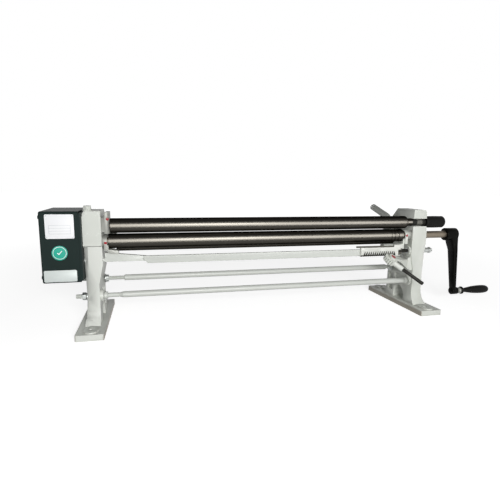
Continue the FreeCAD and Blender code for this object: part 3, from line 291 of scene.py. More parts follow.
# Sheet aluminium signs, printed and lacquered: white above, pale grey below.
SIGN_WHITE = Finish("printed_aluminium_sign", "#F4F5F6", "#EEEFF1", 40, 0, 0.45, 0.6, 0.002,
    spread=0.03)
SIGN_PALE = Finish("pale_aluminium_sign", "#D3DAD7", "#CBD2CF", 40, 0.1, 0.45, 0.6, 0.002,
    spread=0.03)
# Printed vinyl sticker: even green, satin.
STICKER_GREEN = Finish("green_vinyl_sticker", "#14AA92", "#12A28B", 20, 0, 0.4, 0.5, 0.002,
    spread=0.03)
# Screen-printed ink of the ruled lines: flat mid grey.
PRINT_INK = Finish("grey_print_ink", "#9AA0A8", "#8F959E", 10, 0, 0.5, 0.5, 0.001, spread=0.03)

SLOT_FINISH = {
    "frame_paint": MACHINE_ENAMEL, "case_paint": CASE_ENAMEL, "bearing_iron": SHADED_BEARING_IRON,
    "roll_steel": ROLL_STEEL, "bright_steel": PAINTED_ROD, "ground_steel": GAUGE_PLATE,
    "dark_steel": BLACK_OXIDE, "zinc_steel": ZINC_PLATE, "gear_steel": GEAR_STEEL,
    "bronze": BRONZE, "lever_paint": MACHINE_ENAMEL, "sleeve_steel": SLEEVE_STEEL,
    "black_grip": PHENOLIC, "crank_paint": CRANK_ENAMEL, "red_plug": RED_PLUG}
NODE_FINISH = {
    "case_screws": CASE_ENAMEL, "stud_sleeves": ZINC_PLATE, "rear_roll_bushes": GEAR_STEEL,
    "shaft_bushes": GEAR_STEEL, "lower_bush_right": GEAR_STEEL}
NODE_SLOT = {row["node"]: row["material_slot"] for row in frame["record"]["subparts"]}
BRIGHT_METAL = bpy.data.collections.new("ground_rolls")


# ---------------------------------------------------------------- meshes

def dress(thing: bpy.types.Object, body: str, finish: Finish, smooth: bool) -> None:
    """Gives a piece its body, finish and shading.

    Args:
        thing: The piece.
        body: Body of the model that it moves with.
        finish: Finish that it wears.
        smooth: Whether its faces are shaded smooth.
    """
    mesh = thing.data
    mesh.materials.clear()
    mesh.materials.append(finish.material())
    mesh.polygons.foreach_set("use_smooth", [smooth] * len(mesh.polygons))
    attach(thing, body)
    log.info("%s: %d faces on %s, %s", thing.name, len(mesh.polygons), body, finish.name)


def piece(name: str, shape: Shape, finish: Finish, node: str = "", body: str = "",
          smooth: bool = True) -> bpy.types.Object:
    """Makes one finished piece, with its place in its mesh.

    Args:
        name: Name of the piece.
        shape: Its corner points in millimetres, and the corner indices of each face.
        finish: Finish that it wears.
        node: CAD node that it replaces, or nothing.
        body: Body of the model that it moves with, or nothing for the node's.
        smooth: Whether its faces are shaded smooth, up to sharp edges.

    Returns:
        The object, at the origin.
    """
    points, faces = shape
    mesh = bpy.data.meshes.new(name)
    mesh.from_pydata((points * MM).tolist(), [], faces)
    mesh.update()
    thing = bpy.data.objects.new(name, mesh)
    bpy.context.scene.collection.objects.link(thing)
    dress(thing, body or frame["nodes"][node]["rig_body"], finish, smooth)
    if smooth:
        mesh.set_sharp_from_angle(angle=math.radians(SHARP))
    if node:
        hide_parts(node)
    return thing


def two_toned(thing: bpy.types.Object, finish: Finish, chosen: Choice) -> None:
    """Gives some faces of a piece a second finish.

    Args:
        thing: The piece.
        finish: Its second finish.
        chosen: Which faces wear it, by their centres in millimetres and their normals.
    """
    mesh = thing.data
    mesh.materials.append(finish.material())
    centres, normals = np.empty((2, 3 * len(mesh.polygons)))
    mesh.polygons.foreach_get("center", centres)
    mesh.polygons.foreach_get("normal", normals)
    inside = chosen(centres.reshape(-1, 3) / MM, normals.reshape(-1, 3))
    mesh.polygons.foreach_set("material_index", inside.astype(int))


def cut(shape: bmesh.types.BMesh, point: Point, normal: Point, off: bool = False) -> None:
    """Adds edges where a plane passes through a mesh, so that its faces can bend there.

    Args:
        shape: Mesh that is cut.
        point: Point of the plane, in metres.
        normal: Direction square to the plane.
        off: True to take off what lies beyond the plane and to close the cut.
    """
    found = bmesh.ops.bisect_plane(
        shape, geom=shape.verts[:] + shape.edges[:] + shape.faces[:], dist=1e-6,
        plane_co=point, plane_no=Vector(normal).normalized(), clear_outer=off)
    if off:
        rim = [item for item in found["geom_cut"] if isinstance(item, bmesh.types.BMEdge)]
        bmesh.ops.triangle_fill(shape, edges=rim, use_beauty=True, normal=Vector(normal))


def reshaped(shape: bmesh.types.BMesh, change: Change) -> None:
    """Moves a mesh's corners.

    Args:
        shape: The mesh.
        change: Gives the new x, y and z in millimetres for arrays of the old ones.
    """
    places = np.array([corner.co for corner in shape.verts]) / MM
    for corner, place in zip(shape.verts, np.stack(change(*places.T), 1) * MM):
        corner.co = place


def softened(node: str, name: str, width: float, finish: Finish,
             edit: Callable[[bmesh.types.BMesh], None] | None = None,
             change: Change | None = None, inlay: tuple[Finish, Choice] | None = None,
             rounds: int = 2, flat: bool = False) -> None:
    """Puts a copy whose sharp edges are broken, as on a real casting, in place of a CAD node.

    The copy's loose triangles are merged, flat areas become one face, and every other edge gets
    a narrow round.

    Args:
        node: CAD node to copy and replace.
        name: Name of the piece.
        width: Width of the broken edge in millimetres.
        finish: Finish that it wears.
        edit: Work on the merged mesh before its edges are broken.
        change: New places of its corners, as for reshaped.
        inlay: Second finish, and which faces wear it by their centres and normals.
        rounds: Steps across the broken edge.
        flat: True for a piece of flat faces only, which are then shaded flat.
    """
    source = frame["nodes"][node]
    thing = bpy.data.objects.new(name, source.data.copy())
    bpy.context.scene.collection.objects.link(thing)
    shape = bmesh.new()
    shape.from_mesh(thing.data)
    bmesh.ops.remove_doubles(shape, verts=shape.verts, dist=2e-6)
    if edit:
        edit(shape)
    if change:
        reshaped(shape, change)
    bmesh.ops.dissolve_limit(shape, angle_limit=math.radians(LEVEL), verts=shape.verts,
                             edges=shape.edges, use_dissolve_boundaries=False)
    shape.to_mesh(thing.data)
    shape.free()
    thing.data.polygons.foreach_set("use_smooth", [True] * len(thing.data.polygons))
    bevel = thing.modifiers.new("broken_edges", "BEVEL")
    bevel.width = width * MM
    bevel.segments = rounds
    bevel.limit_method = "ANGLE"
    bevel.angle_limit = math.radians(BROKEN)
    bevel.harden_normals = not flat
    fixed = bpy.data.meshes.new_from_object(
        thing.evaluated_get(bpy.context.evaluated_depsgraph_get()))
    thing.modifiers.clear()
    thing.data = fixed
    dress(thing, source["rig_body"], finish, not flat)
    if inlay:
        two_toned(thing, *inlay)
    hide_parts(node)


def loops(rows: int, steps: int, hollow: bool = False) -> list:
    """Faces between rings of points.

    Args:
        rows: Number of rings.
        steps: Points of each ring.
        hollow: True to join the last ring to the first, in place of a cap on either.

    Returns:
        The corner indices of each face.
    """
    row, step = np.meshgrid(np.arange(rows - 1), np.arange(steps), indexing="ij")
    after = (step + 1) % steps
    quads = np.stack([row * steps + step, row * steps + after,
                      (row + 1) * steps + after, (row + 1) * steps + step], -1)
    last = (rows - 1) * steps
    ends = [list(range(steps))[::-1], list(range(last, last + steps))]
    if hollow:
        ends = [[last + k, last + (k + 1) % steps, (k + 1) % steps, k] for k in range(steps)]
    return quads.reshape(-1, 4).tolist() + ends


def turned(along: np.ndarray, radii: np.ndarray, centre: Point, axis: Point = ALONG_X,
           hollow: bool = False) -> Shape:
    """A surface of rings round an axis.

    A point is centre + s axis + r (first cos a + second sin a), with a going once round. The
    unit vectors first and second are square to the axis, the second upwards if it can be.

    Args:
        along: Distance s of each ring along the axis.
        radii: Radius r, as a grid of rings by steps of the turn.
        centre: Point on the axis where the distance is 0, in millimetres.
        axis: Direction of the axis.
        hollow: True for a surface that closes round a hole.

    Returns:
        Points in millimetres and the faces.
    """
    way = np.array(axis, float)
    way /= np.linalg.norm(way)
    first = np.cross(UPWARDS if abs(way[2]) < 0.9 else TO_FRONT, way)
    first /= np.linalg.norm(first)
    second = np.cross(way, first)
    angle = np.linspace(0, 2 * math.pi, radii.shape[1], endpoint=False)[:, None]
    ring = first * np.cos(angle) + second * np.sin(angle)
    grid = np.array(centre) + along[:, None, None] * way + radii[..., None] * ring
    return grid.reshape(-1, 3), loops(*radii.shape, hollow)


def revolve(profile: list[Pair], centre: Point, axis: Point = ALONG_X, steps: int = 48,
            solid: bool = True) -> Shape:
    """Turns a profile round an axis.

    Args:
        profile: Corners as (distance along the axis, radius).
        centre: Point on the axis where the distance is 0, in millimetres.
        axis: Direction of the axis.
        steps: Divisions of the turn.
        solid: True to close both ends on the axis, False to leave the profile as it is.

    Returns:
        Points in millimetres and the faces.
    """
    if solid:
        start, end = ([(s, ON_AXIS)] * (r > ON_AXIS) for s, r in (profile[0], profile[-1]))
        profile = start + profile + end
    s, r = np.array(profile, float).T
    return turned(s, np.repeat(r[:, None], steps, 1), centre, axis)


def joined(parts: list[Shape]) -> Shape:
    """Puts several meshes into one.

    Args:
        parts: Points and faces of each.

    Returns:
        Points and faces of the whole.
    """
    points, faces, start = [], [], 0
    for some, their in parts:
        points.append(some)
        faces += [[corner + start for corner in face] for face in their]
        start += len(some)
    return np.concatenate(points), faces


def arc(cx: float, cy: float, radius: float, start: float, end: float,
        steps: int = 5) -> list[Pair]:
    """Points along an arc.

    Args:
        cx: First coordinate of its centre.
        cy: Second coordinate of its centre.
        radius: Its radius.
        start: First angle in degrees.
        end: Last angle in degrees.
        steps: Divisions of the arc.

    Returns:
        The points, with both ends.
    """
    return [(cx + radius * math.cos(math.radians(a)), cy + radius * math.sin(math.radians(a)))
            for a in np.linspace(start, end, steps + 1)]


def threaded_rod(stretches: tuple | list, y: float, z: float) -> Shape:
    """A rod along X made of plain and threaded stretches.

    The radius of a thread is the outer one less depth times w, where w is how far the point is
    from the nearest crest of the helix, from 0 on the crest to 1 in the root. The first and last
    pitch run out to a chamfer, and plain stretches have small ones.

    Args:
        stretches: (first x, last x, radius, pitch) from left to right; a pitch of 0 is plain.
        y: Axis position.
        z: Axis position.

    Returns:
        Points in millimetres and the faces.
    """
    steps, chamfer = 28, 0.8
    turn = np.arange(steps) / steps
    rows, radii = [], []
    for left, right, radius, pitch in stretches:
        if pitch:
            length, depth = right - left, 0.55 * pitch
            along = np.linspace(0, length, int(length / pitch * 6) + 1)
            phase = (along[:, None] / pitch - turn[None]) % 1.0
            root = np.clip((1 - abs(2 * phase - 1)) * 1.3 - 0.15, 0, 1)
            edge = np.minimum(along, length - along)[:, None] / pitch
            rows.append(left + along)
            radii.append(np.minimum(radius - depth * root,
                                    radius - depth * np.clip(1 - edge, 0, 1)))
        else:
            rows.append(np.array([left, left + chamfer, right - chamfer, right]))
            radii.append(np.repeat([[radius - chamfer], [radius], [radius], [radius - chamfer]],
                                   steps, 1))
    return turned(np.concatenate(rows), np.concatenate(radii), (0, y, z))


def hex_nut(centre: Point, axis: Point, flats: float, height: float,
            bore: float = ON_AXIS) -> Shape:
    """A hexagon nut or head whose corners are turned off by a 30 degree chamfer.

    Its outer radius at each turn is the lesser of the hexagon, with slightly rounded corners,
    and the chamfer cone.

    Args:
        centre: Middle of its first face, in millimetres.
        axis: Direction from that face to the other.
        flats: Width across flats.
        height: Height along the axis.
        bore: Radius of the hole; a bolt head has none.

    Returns:
        Points in millimetres and the faces.
    """
    steps, sixth, slope = 48, math.pi / 3, math.tan(math.radians(30))
    angle = np.linspace(0, 2 * math.pi, steps, endpoint=False)
    nearest = (angle + sixth / 2) % sixth - sixth / 2
    hexagon = np.minimum(flats / 2 / np.cos(nearest), flats / 2 / math.cos(sixth / 2) - 0.25)
    cone = flats / 2 * 0.96
    drop = (hexagon.max() - cone) * slope
    half = [(0.0, np.full(steps, bore)), (0.0, np.minimum(hexagon, cone)),
            (drop / 2, np.minimum(hexagon, cone + drop / 2 / slope)), (drop, hexagon)]
    along, radii = zip(*half, *((height - s, r) for s, r in half[::-1]))
    return turned(np.array(along), np.array(radii), centre, axis, bore > ON_AXIS)


def plate(centre: Point, width: float, height: float, thickness: float, corner: float) -> Shape:
    """A thin sheet plate that faces the front, with round corners and a rolled edge.

    Each ring is the outline drawn in by an inset, at a share of the thickness.

    Args:
        centre: Middle of its back, in millimetres.
        width: Size along X.
        height: Size along Z.
        thickness: Size along Y.
        corner: Radius of its corners.

    Returns:
        Points in millimetres and the faces.
    """
    outline = []
    for cx, cz, start in ((1, 1, 0), (-1, 1, 90), (-1, -1, 180), (1, -1, 270)):
        outline += arc(cx * (width / 2 - corner), cz * (height / 2 - corner), corner,
                       start, start + 90, 8)
    outline = np.array(outline)
    rings = []
    for inset, share in ((0.0, 0.0), (0.0, 0.6), (0.12, 0.88), (0.4, 1.0)):
        x, z = outline.T * (1 - inset / np.hypot(width, height) * 2)
        rings.append(np.stack([centre[0] + x, np.full(len(x), centre[1]) - share * thickness,
                               centre[2] + z], -1))
    return np.concatenate(rings), loops(len(rings), len(outline))


# ---------------------------------------------------------------- sub-assemblies

@dataclass(frozen=True)
class Studio:
    """Camera, lamps, world and floor. None of it is part of the machine.

    Attributes:
        lens_mm: Focal length and width of the sensor.
        place_mm: Where the camera stands.
        aim: Its turn to the right, tilt downwards and roll about the view, in degrees.
        lamps: Name, place, target and size in metres, and watts of each soft lamp.
        roll_lamp: The lamp that lights the ground rolls only.
        ambient: Level of the world on the machine.
        wall_top: Heights of the view direction between which the walls meet the ceiling.
        ceiling: Brightness of the ceiling.
        floor_half: Half size of the floor, in metres.
        floor_glow: Glow of the floor around the machine.
        glow_rise: Distances in metres between which the glow rises to that of the walls.
    """

    lens_mm: Pair = (28.90, 36.0)
    place_mm: Point = (-423.57, -1491.4, 507.9)
    aim: Point = (13.812, 9.703, 0.798)
    lamps: tuple = (
        ("front_softbox", (-0.02, -3.0, 0.92), (0.0, 0.0, 0.3), (1.3, 0.8), 78.0),
        ("roll_strip", (0.29, -1.05, 0.42), (0.29, 0.0, 0.34), (2.5, 0.74), 72.0),
        ("overhead_softbox", (-0.2, 0.1, 3.0), (0.0, 0.0, 0.2), (2.4, 1.4), 1.5))
    roll_lamp: str = "roll_strip"
    ambient: float = 0.21
    wall_top: Pair = (0.5, 0.8)
    ceiling: float = 0.12
    floor_half: float = 14.0
    floor_glow: float = 0.80
    glow_rise: Pair = (1.0, 3.5)

    def camera(self) -> None:
        """Adds the camera and makes it the scene's."""
        yaw, pitch, roll = np.radians(self.aim).tolist()
        view = Vector((math.sin(yaw) * math.cos(pitch), math.cos(yaw) * math.cos(pitch),
                       -math.sin(pitch)))
        level = Vector((math.cos(yaw), -math.sin(yaw), 0))
        above = level.cross(view)
        right = level * math.cos(roll) + above * math.sin(roll)
        up = above * math.cos(roll) - level * math.sin(roll)
        camera = bpy.data.objects.new("camera", bpy.data.cameras.new("camera"))
        camera.data.lens, camera.data.sensor_width = self.lens_mm
        camera.data.clip_end = 100
        turn = Matrix((right, up, -view)).transposed().to_4x4()
        camera.matrix_world = Matrix.Translation(Vector(self.place_mm) * MM) @ turn
        bpy.context.scene.collection.objects.link(camera)
        bpy.context.scene.camera = camera

    def lighting(self) -> None:
        """Adds the rectangular soft lamps."""
        for name, place, target, size, power in self.lamps:
            data = bpy.data.lights.new(name, "AREA")
            data.shape = "RECTANGLE"
            data.size, data.size_y = size
            data.energy = power
            lamp = bpy.data.objects.new(name, data)
            lamp.location = place
            way = Vector(target) - Vector(place)
            lamp.rotation_euler = way.to_track_quat("-Z", "Y").to_euler()
            bpy.context.scene.collection.objects.link(lamp)
            if name == self.roll_lamp:
                lamp.light_linking.receiver_collection = BRIGHT_METAL
                lamp.visible_camera = False

    @staticmethod
    def seen(tree: bpy.types.NodeTree) -> bpy.types.NodeSocket:
        """Marks what the camera sees, straight or by reflection and through glass.

        Args:
            tree: Node tree that gets the nodes.

        Returns:
            A level that is 1 for these rays and 0 for the others.
        """
        path = add(tree, "ShaderNodeLightPath").outputs
        level = path["Is Camera Ray"]
        for kind in ("Is Glossy Ray", "Is Transmission Ray"):
            level = add(tree, "ShaderNodeMath", {0: level, 1: path[kind]},
                        operation="MAXIMUM").outputs[0]
        return level

    def world(self) -> None:
        """White walls under a dim ceiling, which light the machine only at the ambient level.

        The ramp is 1 up to the first height of the view direction, and falls to the ceiling's
        brightness at the second.
        """
        world = bpy.data.worlds.new("surround")
        bpy.context.scene.world = world
        world.use_nodes = True
        tree = world.node_tree
        tree.nodes.clear()
        way = add(tree, "ShaderNodeTexCoord").outputs["Generated"]
        height = add(tree, "ShaderNodeSeparateXYZ", {0: way}).outputs[2]
        walls = add(tree, "ShaderNodeMapRange", {
            "Value": height, "From Min": self.wall_top[0], "From Max": self.wall_top[1],
            "To Min": 1.0, "To Max": self.ceiling}).outputs[0]
        level = add(tree, "ShaderNodeMix", {0: self.seen(tree), 2: self.ambient, 3: 1.0})
        level = add(tree, "ShaderNodeMath", {0: level.outputs[0], 1: walls},
                    operation="MULTIPLY")
        ground = add(tree, "ShaderNodeBackground", {"Color": linear("#FFFFFF"),
                                                    "Strength": level.outputs[0]})
        add(tree, "ShaderNodeOutputWorld", {"Surface": ground.outputs[0]})

    def floor(self) -> None:
        """A white floor that keeps the machine's shadow.

        It is matt and pale, with as much glow towards the camera as takes its lit part to white.
        The glow rises to that of the walls with the distance from the machine, so that floor and
        walls meet without a line.
        """
        mesh = bpy.data.meshes.new("studio_floor")
        corners = [(x * self.floor_half, y * self.floor_half, 0)
                   for x, y in ((-1, -1), (1, -1), (1, 1), (-1, 1))]
        mesh.from_pydata(corners, [], [(0, 1, 2, 3)])
        floor = bpy.data.objects.new("studio_floor", mesh)
        bpy.context.scene.collection.objects.link(floor)
        paper = bpy.data.materials.new("white_paper_floor")
        paper.use_nodes = True
        tree = paper.node_tree
        shader = tree.nodes["Principled BSDF"]
        for socket, value in (("Base Color", linear("#C9C9C9")), ("Roughness", 0.9),
                              ("Specular IOR Level", 0.0), ("Emission Color", linear("#FFFFFF"))):
            shader.inputs[socket].default_value = value
        place = add(tree, "ShaderNodeTexCoord").outputs["Object"]
        far_off = add(tree, "ShaderNodeVectorMath", {0: place}, operation="LENGTH")
        level = add(tree, "ShaderNodeMapRange", {
            "Value": far_off.outputs["Value"], "From Min": self.glow_rise[0],
            "From Max": self.glow_rise[1], "To Min": self.floor_glow, "To Max": 1.0})
        glow = add(tree, "ShaderNodeMath", {0: self.seen(tree), 1: level.outputs[0]},
                   operation="MULTIPLY")
        tree.links.new(glow.outputs[0], shader.inputs["Emission Strength"])
        mesh.materials.append(paper)

    def build(self) -> None:
        """Sets up the whole studio."""
        self.camera()
        self.lighting()
        self.world()
        self.floor()
        bpy.context.scene.view_settings.view_transform = "Standard"


@dataclass(frozen=True)
class Castings:
    """Side frames, cap, swivel and bearing blocks, with the broken edges of real castings.

    A pair of rows gives places as modelled and as cast.

    Attributes:
        edge: Round along the edges of the big castings, in millimetres.
        small_edge: Round along the edges of the small ones.
        bevel: y and z where the bevel over the heads' back top corner starts.
        head: Outer face, top and lower limit of the heads.
        top_corner: Rounded outer top corner, as modelled and as cast.
        mid_x: An x between the inner and outer sides.
        foot: x across a foot.
        foot_half: Half length of a foot.
        foot_top: Thickness of a foot.
        foot_corner: Rounded corners of a foot, as modelled and as cast.
        leg: Top of the legs and half their depth.
        leg_front: y before which a corner belongs to the front edge of a leg.
        leg_x: x across the legs, apart from the outermost as cast.
        flare_x: The same where they meet the feet.
        leg_out: Outermost x of the legs as cast, on the left and on the right frame.
        chamfer: The left leg's slanted corner: its inner x, depth, lower and upper end.
        belly: How far the right head's outer face swells, as (height, distance).
        parting: Upper limit of the cap's lower edge, and how far it is drawn up.
        shade_from_x: x beyond which the right bearing block's boss is darker, as painted shade.
    """

    edge: float = 1.6
    small_edge: float = 0.9
    bevel: Pair = (12.0, 405.0)
    head: Point = (645.5, 405.0, 300.0)
    top_corner: Pair = (22.0, 13.0)
    mid_x: float = 625.0
    foot: tuple = ((585.5, 595.0, 658.0, 667.0), (582.5, 595.0, 658.0, 671.0))
    foot_half: float = 199.0
    foot_top: float = 20.5
    foot_corner: Pair = (9.0, 4.0)
    leg: Pair = (226.0, 130.0)
    leg_front: float = -99.5
    leg_x: tuple = ((587.0, 598.0, 641.0, 645.5, 649.0), (587.0, 601.0, 644.0, 647.0))
    flare_x: tuple = ((596.0, 641.0, 649.0), (598.0, 644.0))
    leg_out: Pair = (650.0, 657.0)
    chamfer: tuple[float, float, float, float] = (632.0, 18.0, 30.0, 287.4)
    belly: tuple = ((228.0, 0.0), (258.0, 4.5), (290.0, 5.5), (328.0, 3.0), (372.0, 0.0))
    parting: Pair = (289.0, 1.6)
    shade_from_x: float = 571.0

    def tighter(self, a: np.ndarray, b: np.ndarray, corner: Pair, radii: Pair,
                where: np.ndarray) -> tuple[np.ndarray, np.ndarray]:
        """Makes a rounded corner smaller.

        A point of the old quarter circle, centre + r (u, v), goes to the new centre plus the new
        radius times the same (u, v). Other points stay.

        Args:
            a: First coordinates of the points.
            b: Second coordinates.
            corner: The sharp corner.
            radii: Old and new radius.
            where: Which points may move.

        Returns:
            The new coordinates.
        """
        old, new = radii
        side_a, side_b = np.sign(corner[0] - self.mid_x), np.sign(corner[1])
        u = (a - (corner[0] - side_a * old)) * side_a / old
        v = (b - (corner[1] - side_b * old)) * side_b / old
        on = (abs(np.hypot(u, v) - 1) < 0.02) & (u > -0.01) & (v > -0.01) & where
        return (np.where(on, corner[0] - side_a * new * (1 - u), a),
                np.where(on, corner[1] - side_b * new * (1 - v), b))

    def side_points(self, x: np.ndarray, y: np.ndarray, z: np.ndarray, right: bool) -> tuple:
        """Brings a side frame's legs, foot and corners to their cast shape.

        Args:
            x: x of the corners.
            y: y of the corners.
            z: z of the corners.
            right: True for the right frame.

        Returns:
            The new coordinates.
        """
        side, x = np.sign(x), abs(x)
        head_out, head_top, head_low = self.head
        leg_top, leg_deep = self.leg
        x, z = self.tighter(x, z, (head_out, head_top), self.top_corner, z > head_low)
        foot = z < self.foot_top + 0.1
        for corner_x in self.foot[0][::3]:
            for corner_y in (-self.foot_half, self.foot_half):
                x, y = self.tighter(x, y, (corner_x, corner_y), self.foot_corner, foot)
        x = np.where(foot, np.interp(x, *self.foot), x)
        out = (self.leg_out[right],)
        leg = ~foot & (z < leg_top) & (abs(y) < leg_deep)
        x = np.where(leg, np.interp(x, self.leg_x[0], self.leg_x[1] + out), x)
        first, *_, last = self.flare_x[0]
        flare = ((abs(z - self.foot_top) < 0.2) & (abs(y) < leg_deep) & (x > first) &
                 (x < last + 3))
        x = np.where(flare, np.interp(x, self.flare_x[0], self.flare_x[1] + out), x)
        if right:
            x = x + np.where(abs(x - head_out) < 0.3, np.interp(z, *np.array(self.belly).T), 0)
        return side * x, y, z

    def chamfered_leg(self, shape: bmesh.types.BMesh) -> None:
        """Slants the outer front corner of the left frame's front leg, below the cap.

        Args:
            shape: Mesh of the left frame.
        """
        inner, depth, low, high = self.chamfer
        for point, normal in (((-inner, 0, 0), ALONG_X), ((0, 0, low), UPWARDS),
                              ((0, 0, high), UPWARDS)):
            cut(shape, Vector(point) * MM, normal)
        reshaped(shape, lambda x, y, z: (x, np.where(
            (x < -inner - 1) & (y < self.leg_front) & (z > low + 0.5) & (z < high + 0.5),
            y + depth, y), z))

    def frame_edit(self, shape: bmesh.types.BMesh, right: bool) -> None:
        """Turns the model's side frame into the cast one, with its bevelled back corner.

        Args:
            shape: Mesh of the frame.
            right: True for the right frame.
        """
        cut(shape, Vector((0, *self.bevel)) * MM, (0, 1, 1), off=True)
        if right:
            for height, _ in self.belly:
                cut(shape, (0, 0, height * MM), UPWARDS)
        reshaped(shape, lambda x, y, z: self.side_points(x, y, z, right))
        if not right:
            self.chamfered_leg(shape)

    def build(self) -> None:
        """Builds the softened castings."""
        for right in (True, False):
            node = "right_frame" if right else "left_frame"
            softened(node, f"{node}_casting", self.edge, MACHINE_ENAMEL,
                     lambda shape, right=right: self.frame_edit(shape, right))
        top, gap = self.parting
        softened("left_front_cap", "left_front_cap_casting", self.edge, MACHINE_ENAMEL,
                 change=lambda x, y, z: (x, y, np.where(z < top, z + gap, z)), rounds=3,
                 flat=True)
        # painted shade: swivel and left lower block darker all over, the right block on its boss
        shaded_boss = SHADED_BEARING_IRON, lambda centres, normals: centres[:, 0] > self.shade_from_x
        for node, finish, inlay in (
                ("swivel_block", SHADED_BEARING_IRON, None), ("lower_block_left", SHADED_BEARING_IRON, None),
                ("lower_block_right", BLOCK_ENAMEL, shaded_boss),
                ("bending_arm_left", MACHINE_ENAMEL, None),
                ("bending_arm_right", MACHINE_ENAMEL, None)):
            softened(node, f"{node}_casting", self.small_edge, finish, inlay=inlay)


@dataclass(frozen=True)
class GearCase:
    """Gear case with its two plain sign plates, its round sticker and drive screws.

    Attributes:
        front: y of the front wall.
        heights: Heights of the case, as modelled and as made.
        upper: Centre x, centre z, width and height of the upper plate.
        lower: The same for the lower plate.
        inset: Distance of the drive screws from the upper plate's edges.
        rules: Distance of the ruled lines from the plate's middle and from each other.
        margin: Distance of the ruled lines from the plate's sides.
        sticker: Centre x, centre z and radius of the sticker.
        tick: Corners of the sticker's tick, from its centre.
        round_steps: Divisions of the sticker's circles.
    """

    front: float = -131.0
    heights: tuple = ((178.0, 200.0, 380.0, 404.0), (176.0, 200.0, 380.0, 407.0))
    upper: tuple[float, float, float, float] = (-706.5, 359.5, 85.0, 77.0)
    lower: tuple[float, float, float, float] = (-712.0, 200.0, 98.0, 38.0)
    inset: float = 4.5
    rules: Pair = (4.0, 9.0)
    margin: float = 11.0
    sticker: Point = (-711.0, 275.0, 23.5)
    tick: tuple = ((-7.6, -0.6), (-5.6, 1.2), (-2.4, -2.2), (6.6, 7.6), (8.2, 6.4), (-2.2, -6.2))
    round_steps: int = 96

    def plates(self) -> None:
        """The two plates, and the round-headed drive screws of the upper one."""
        for name, (x, z, width, height), finish in (
                ("upper_sign_plate", self.upper, SIGN_WHITE),
                ("lower_sign_plate", self.lower, SIGN_PALE)):
            piece(name, plate((x, self.front, z), width, height, 1.0, 4.0), finish,
                  body="frame")
            if finish is SIGN_WHITE:
                head = [(0.0, ON_AXIS), (0.0, 1.5)] + [(math.sin(t), 1.5 * math.cos(t))
                                                       for t in np.linspace(0.2, 1.5, 5)]
                screws = [revolve(head, (x + side * (width / 2 - self.inset), self.front - 0.9,
                                         z + level * (height / 2 - self.inset)), TO_FRONT, 20,
                                  solid=False)
                          for side in (-1, 1) for level in (-1, 1)]
                piece(f"{name}_drive_screws", joined(screws), ZINC_PLATE, body="frame")

    def ruled_lines(self) -> None:
        """Blank form lines printed on the upper plate, as on any data plate to be stamped."""
        x, z, width, _ = self.upper
        first, pitch = self.rules
        y, line, ink = self.front - 0.98, 0.45, (0.06, 0.2)
        lines = [plate((x, y, z + first - row * pitch), width - 2 * self.margin, line, *ink)
                 for row in range(4)]
        lines += [plate((x + side * (width / 2 - self.margin), y, z + first - 1.5 * pitch), line,
                        3 * pitch + 0.4, *ink) for side in (-1, 1)]
        piece("upper_sign_ruled_lines", joined(lines), PRINT_INK, body="frame")

    def round_sticker(self) -> None:
        """Round green sticker with a pale ring and a tick."""
        x, z, radius = self.sticker
        centre, steps = (x, self.front, z), self.round_steps
        disc = [(0.0, radius), (0.28, radius), (0.34, radius - 0.3)]
        piece("round_sticker", revolve(disc, centre, TO_FRONT, steps), STICKER_GREEN,
              body="frame")
        ring = [(0.30, 0.86), (0.38, 0.86), (0.38, 0.80), (0.30, 0.80)]
        radii = np.repeat([[radius * share] for _, share in ring], steps, 1)
        band = turned(np.array(ring)[:, 0], radii, centre, TO_FRONT, hollow=True)
        mark = np.array([(x + a, self.front - depth, z + b)
                         for depth in (0.40, 0.30) for a, b in self.tick])
        mark_faces = loops(2, len(self.tick))
        piece("round_sticker_print", joined([band, (mark, mark_faces[-2:] + mark_faces[:-2])]),
              SIGN_WHITE, body="frame", smooth=False)

    def build(self) -> None:
        """Builds the case and what is on it."""
        softened("gear_case_cover", "gear_case_sheet", 0.9, CASE_ENAMEL,
                 change=lambda x, y, z: (x, y, np.interp(z, *self.heights)), rounds=3,
                 flat=True)
        softened("gear_bearing_plate", "gear_bearing_sheet", 0.7, CASE_ENAMEL, flat=True)
        self.plates()
        self.ruled_lines()
        self.round_sticker()


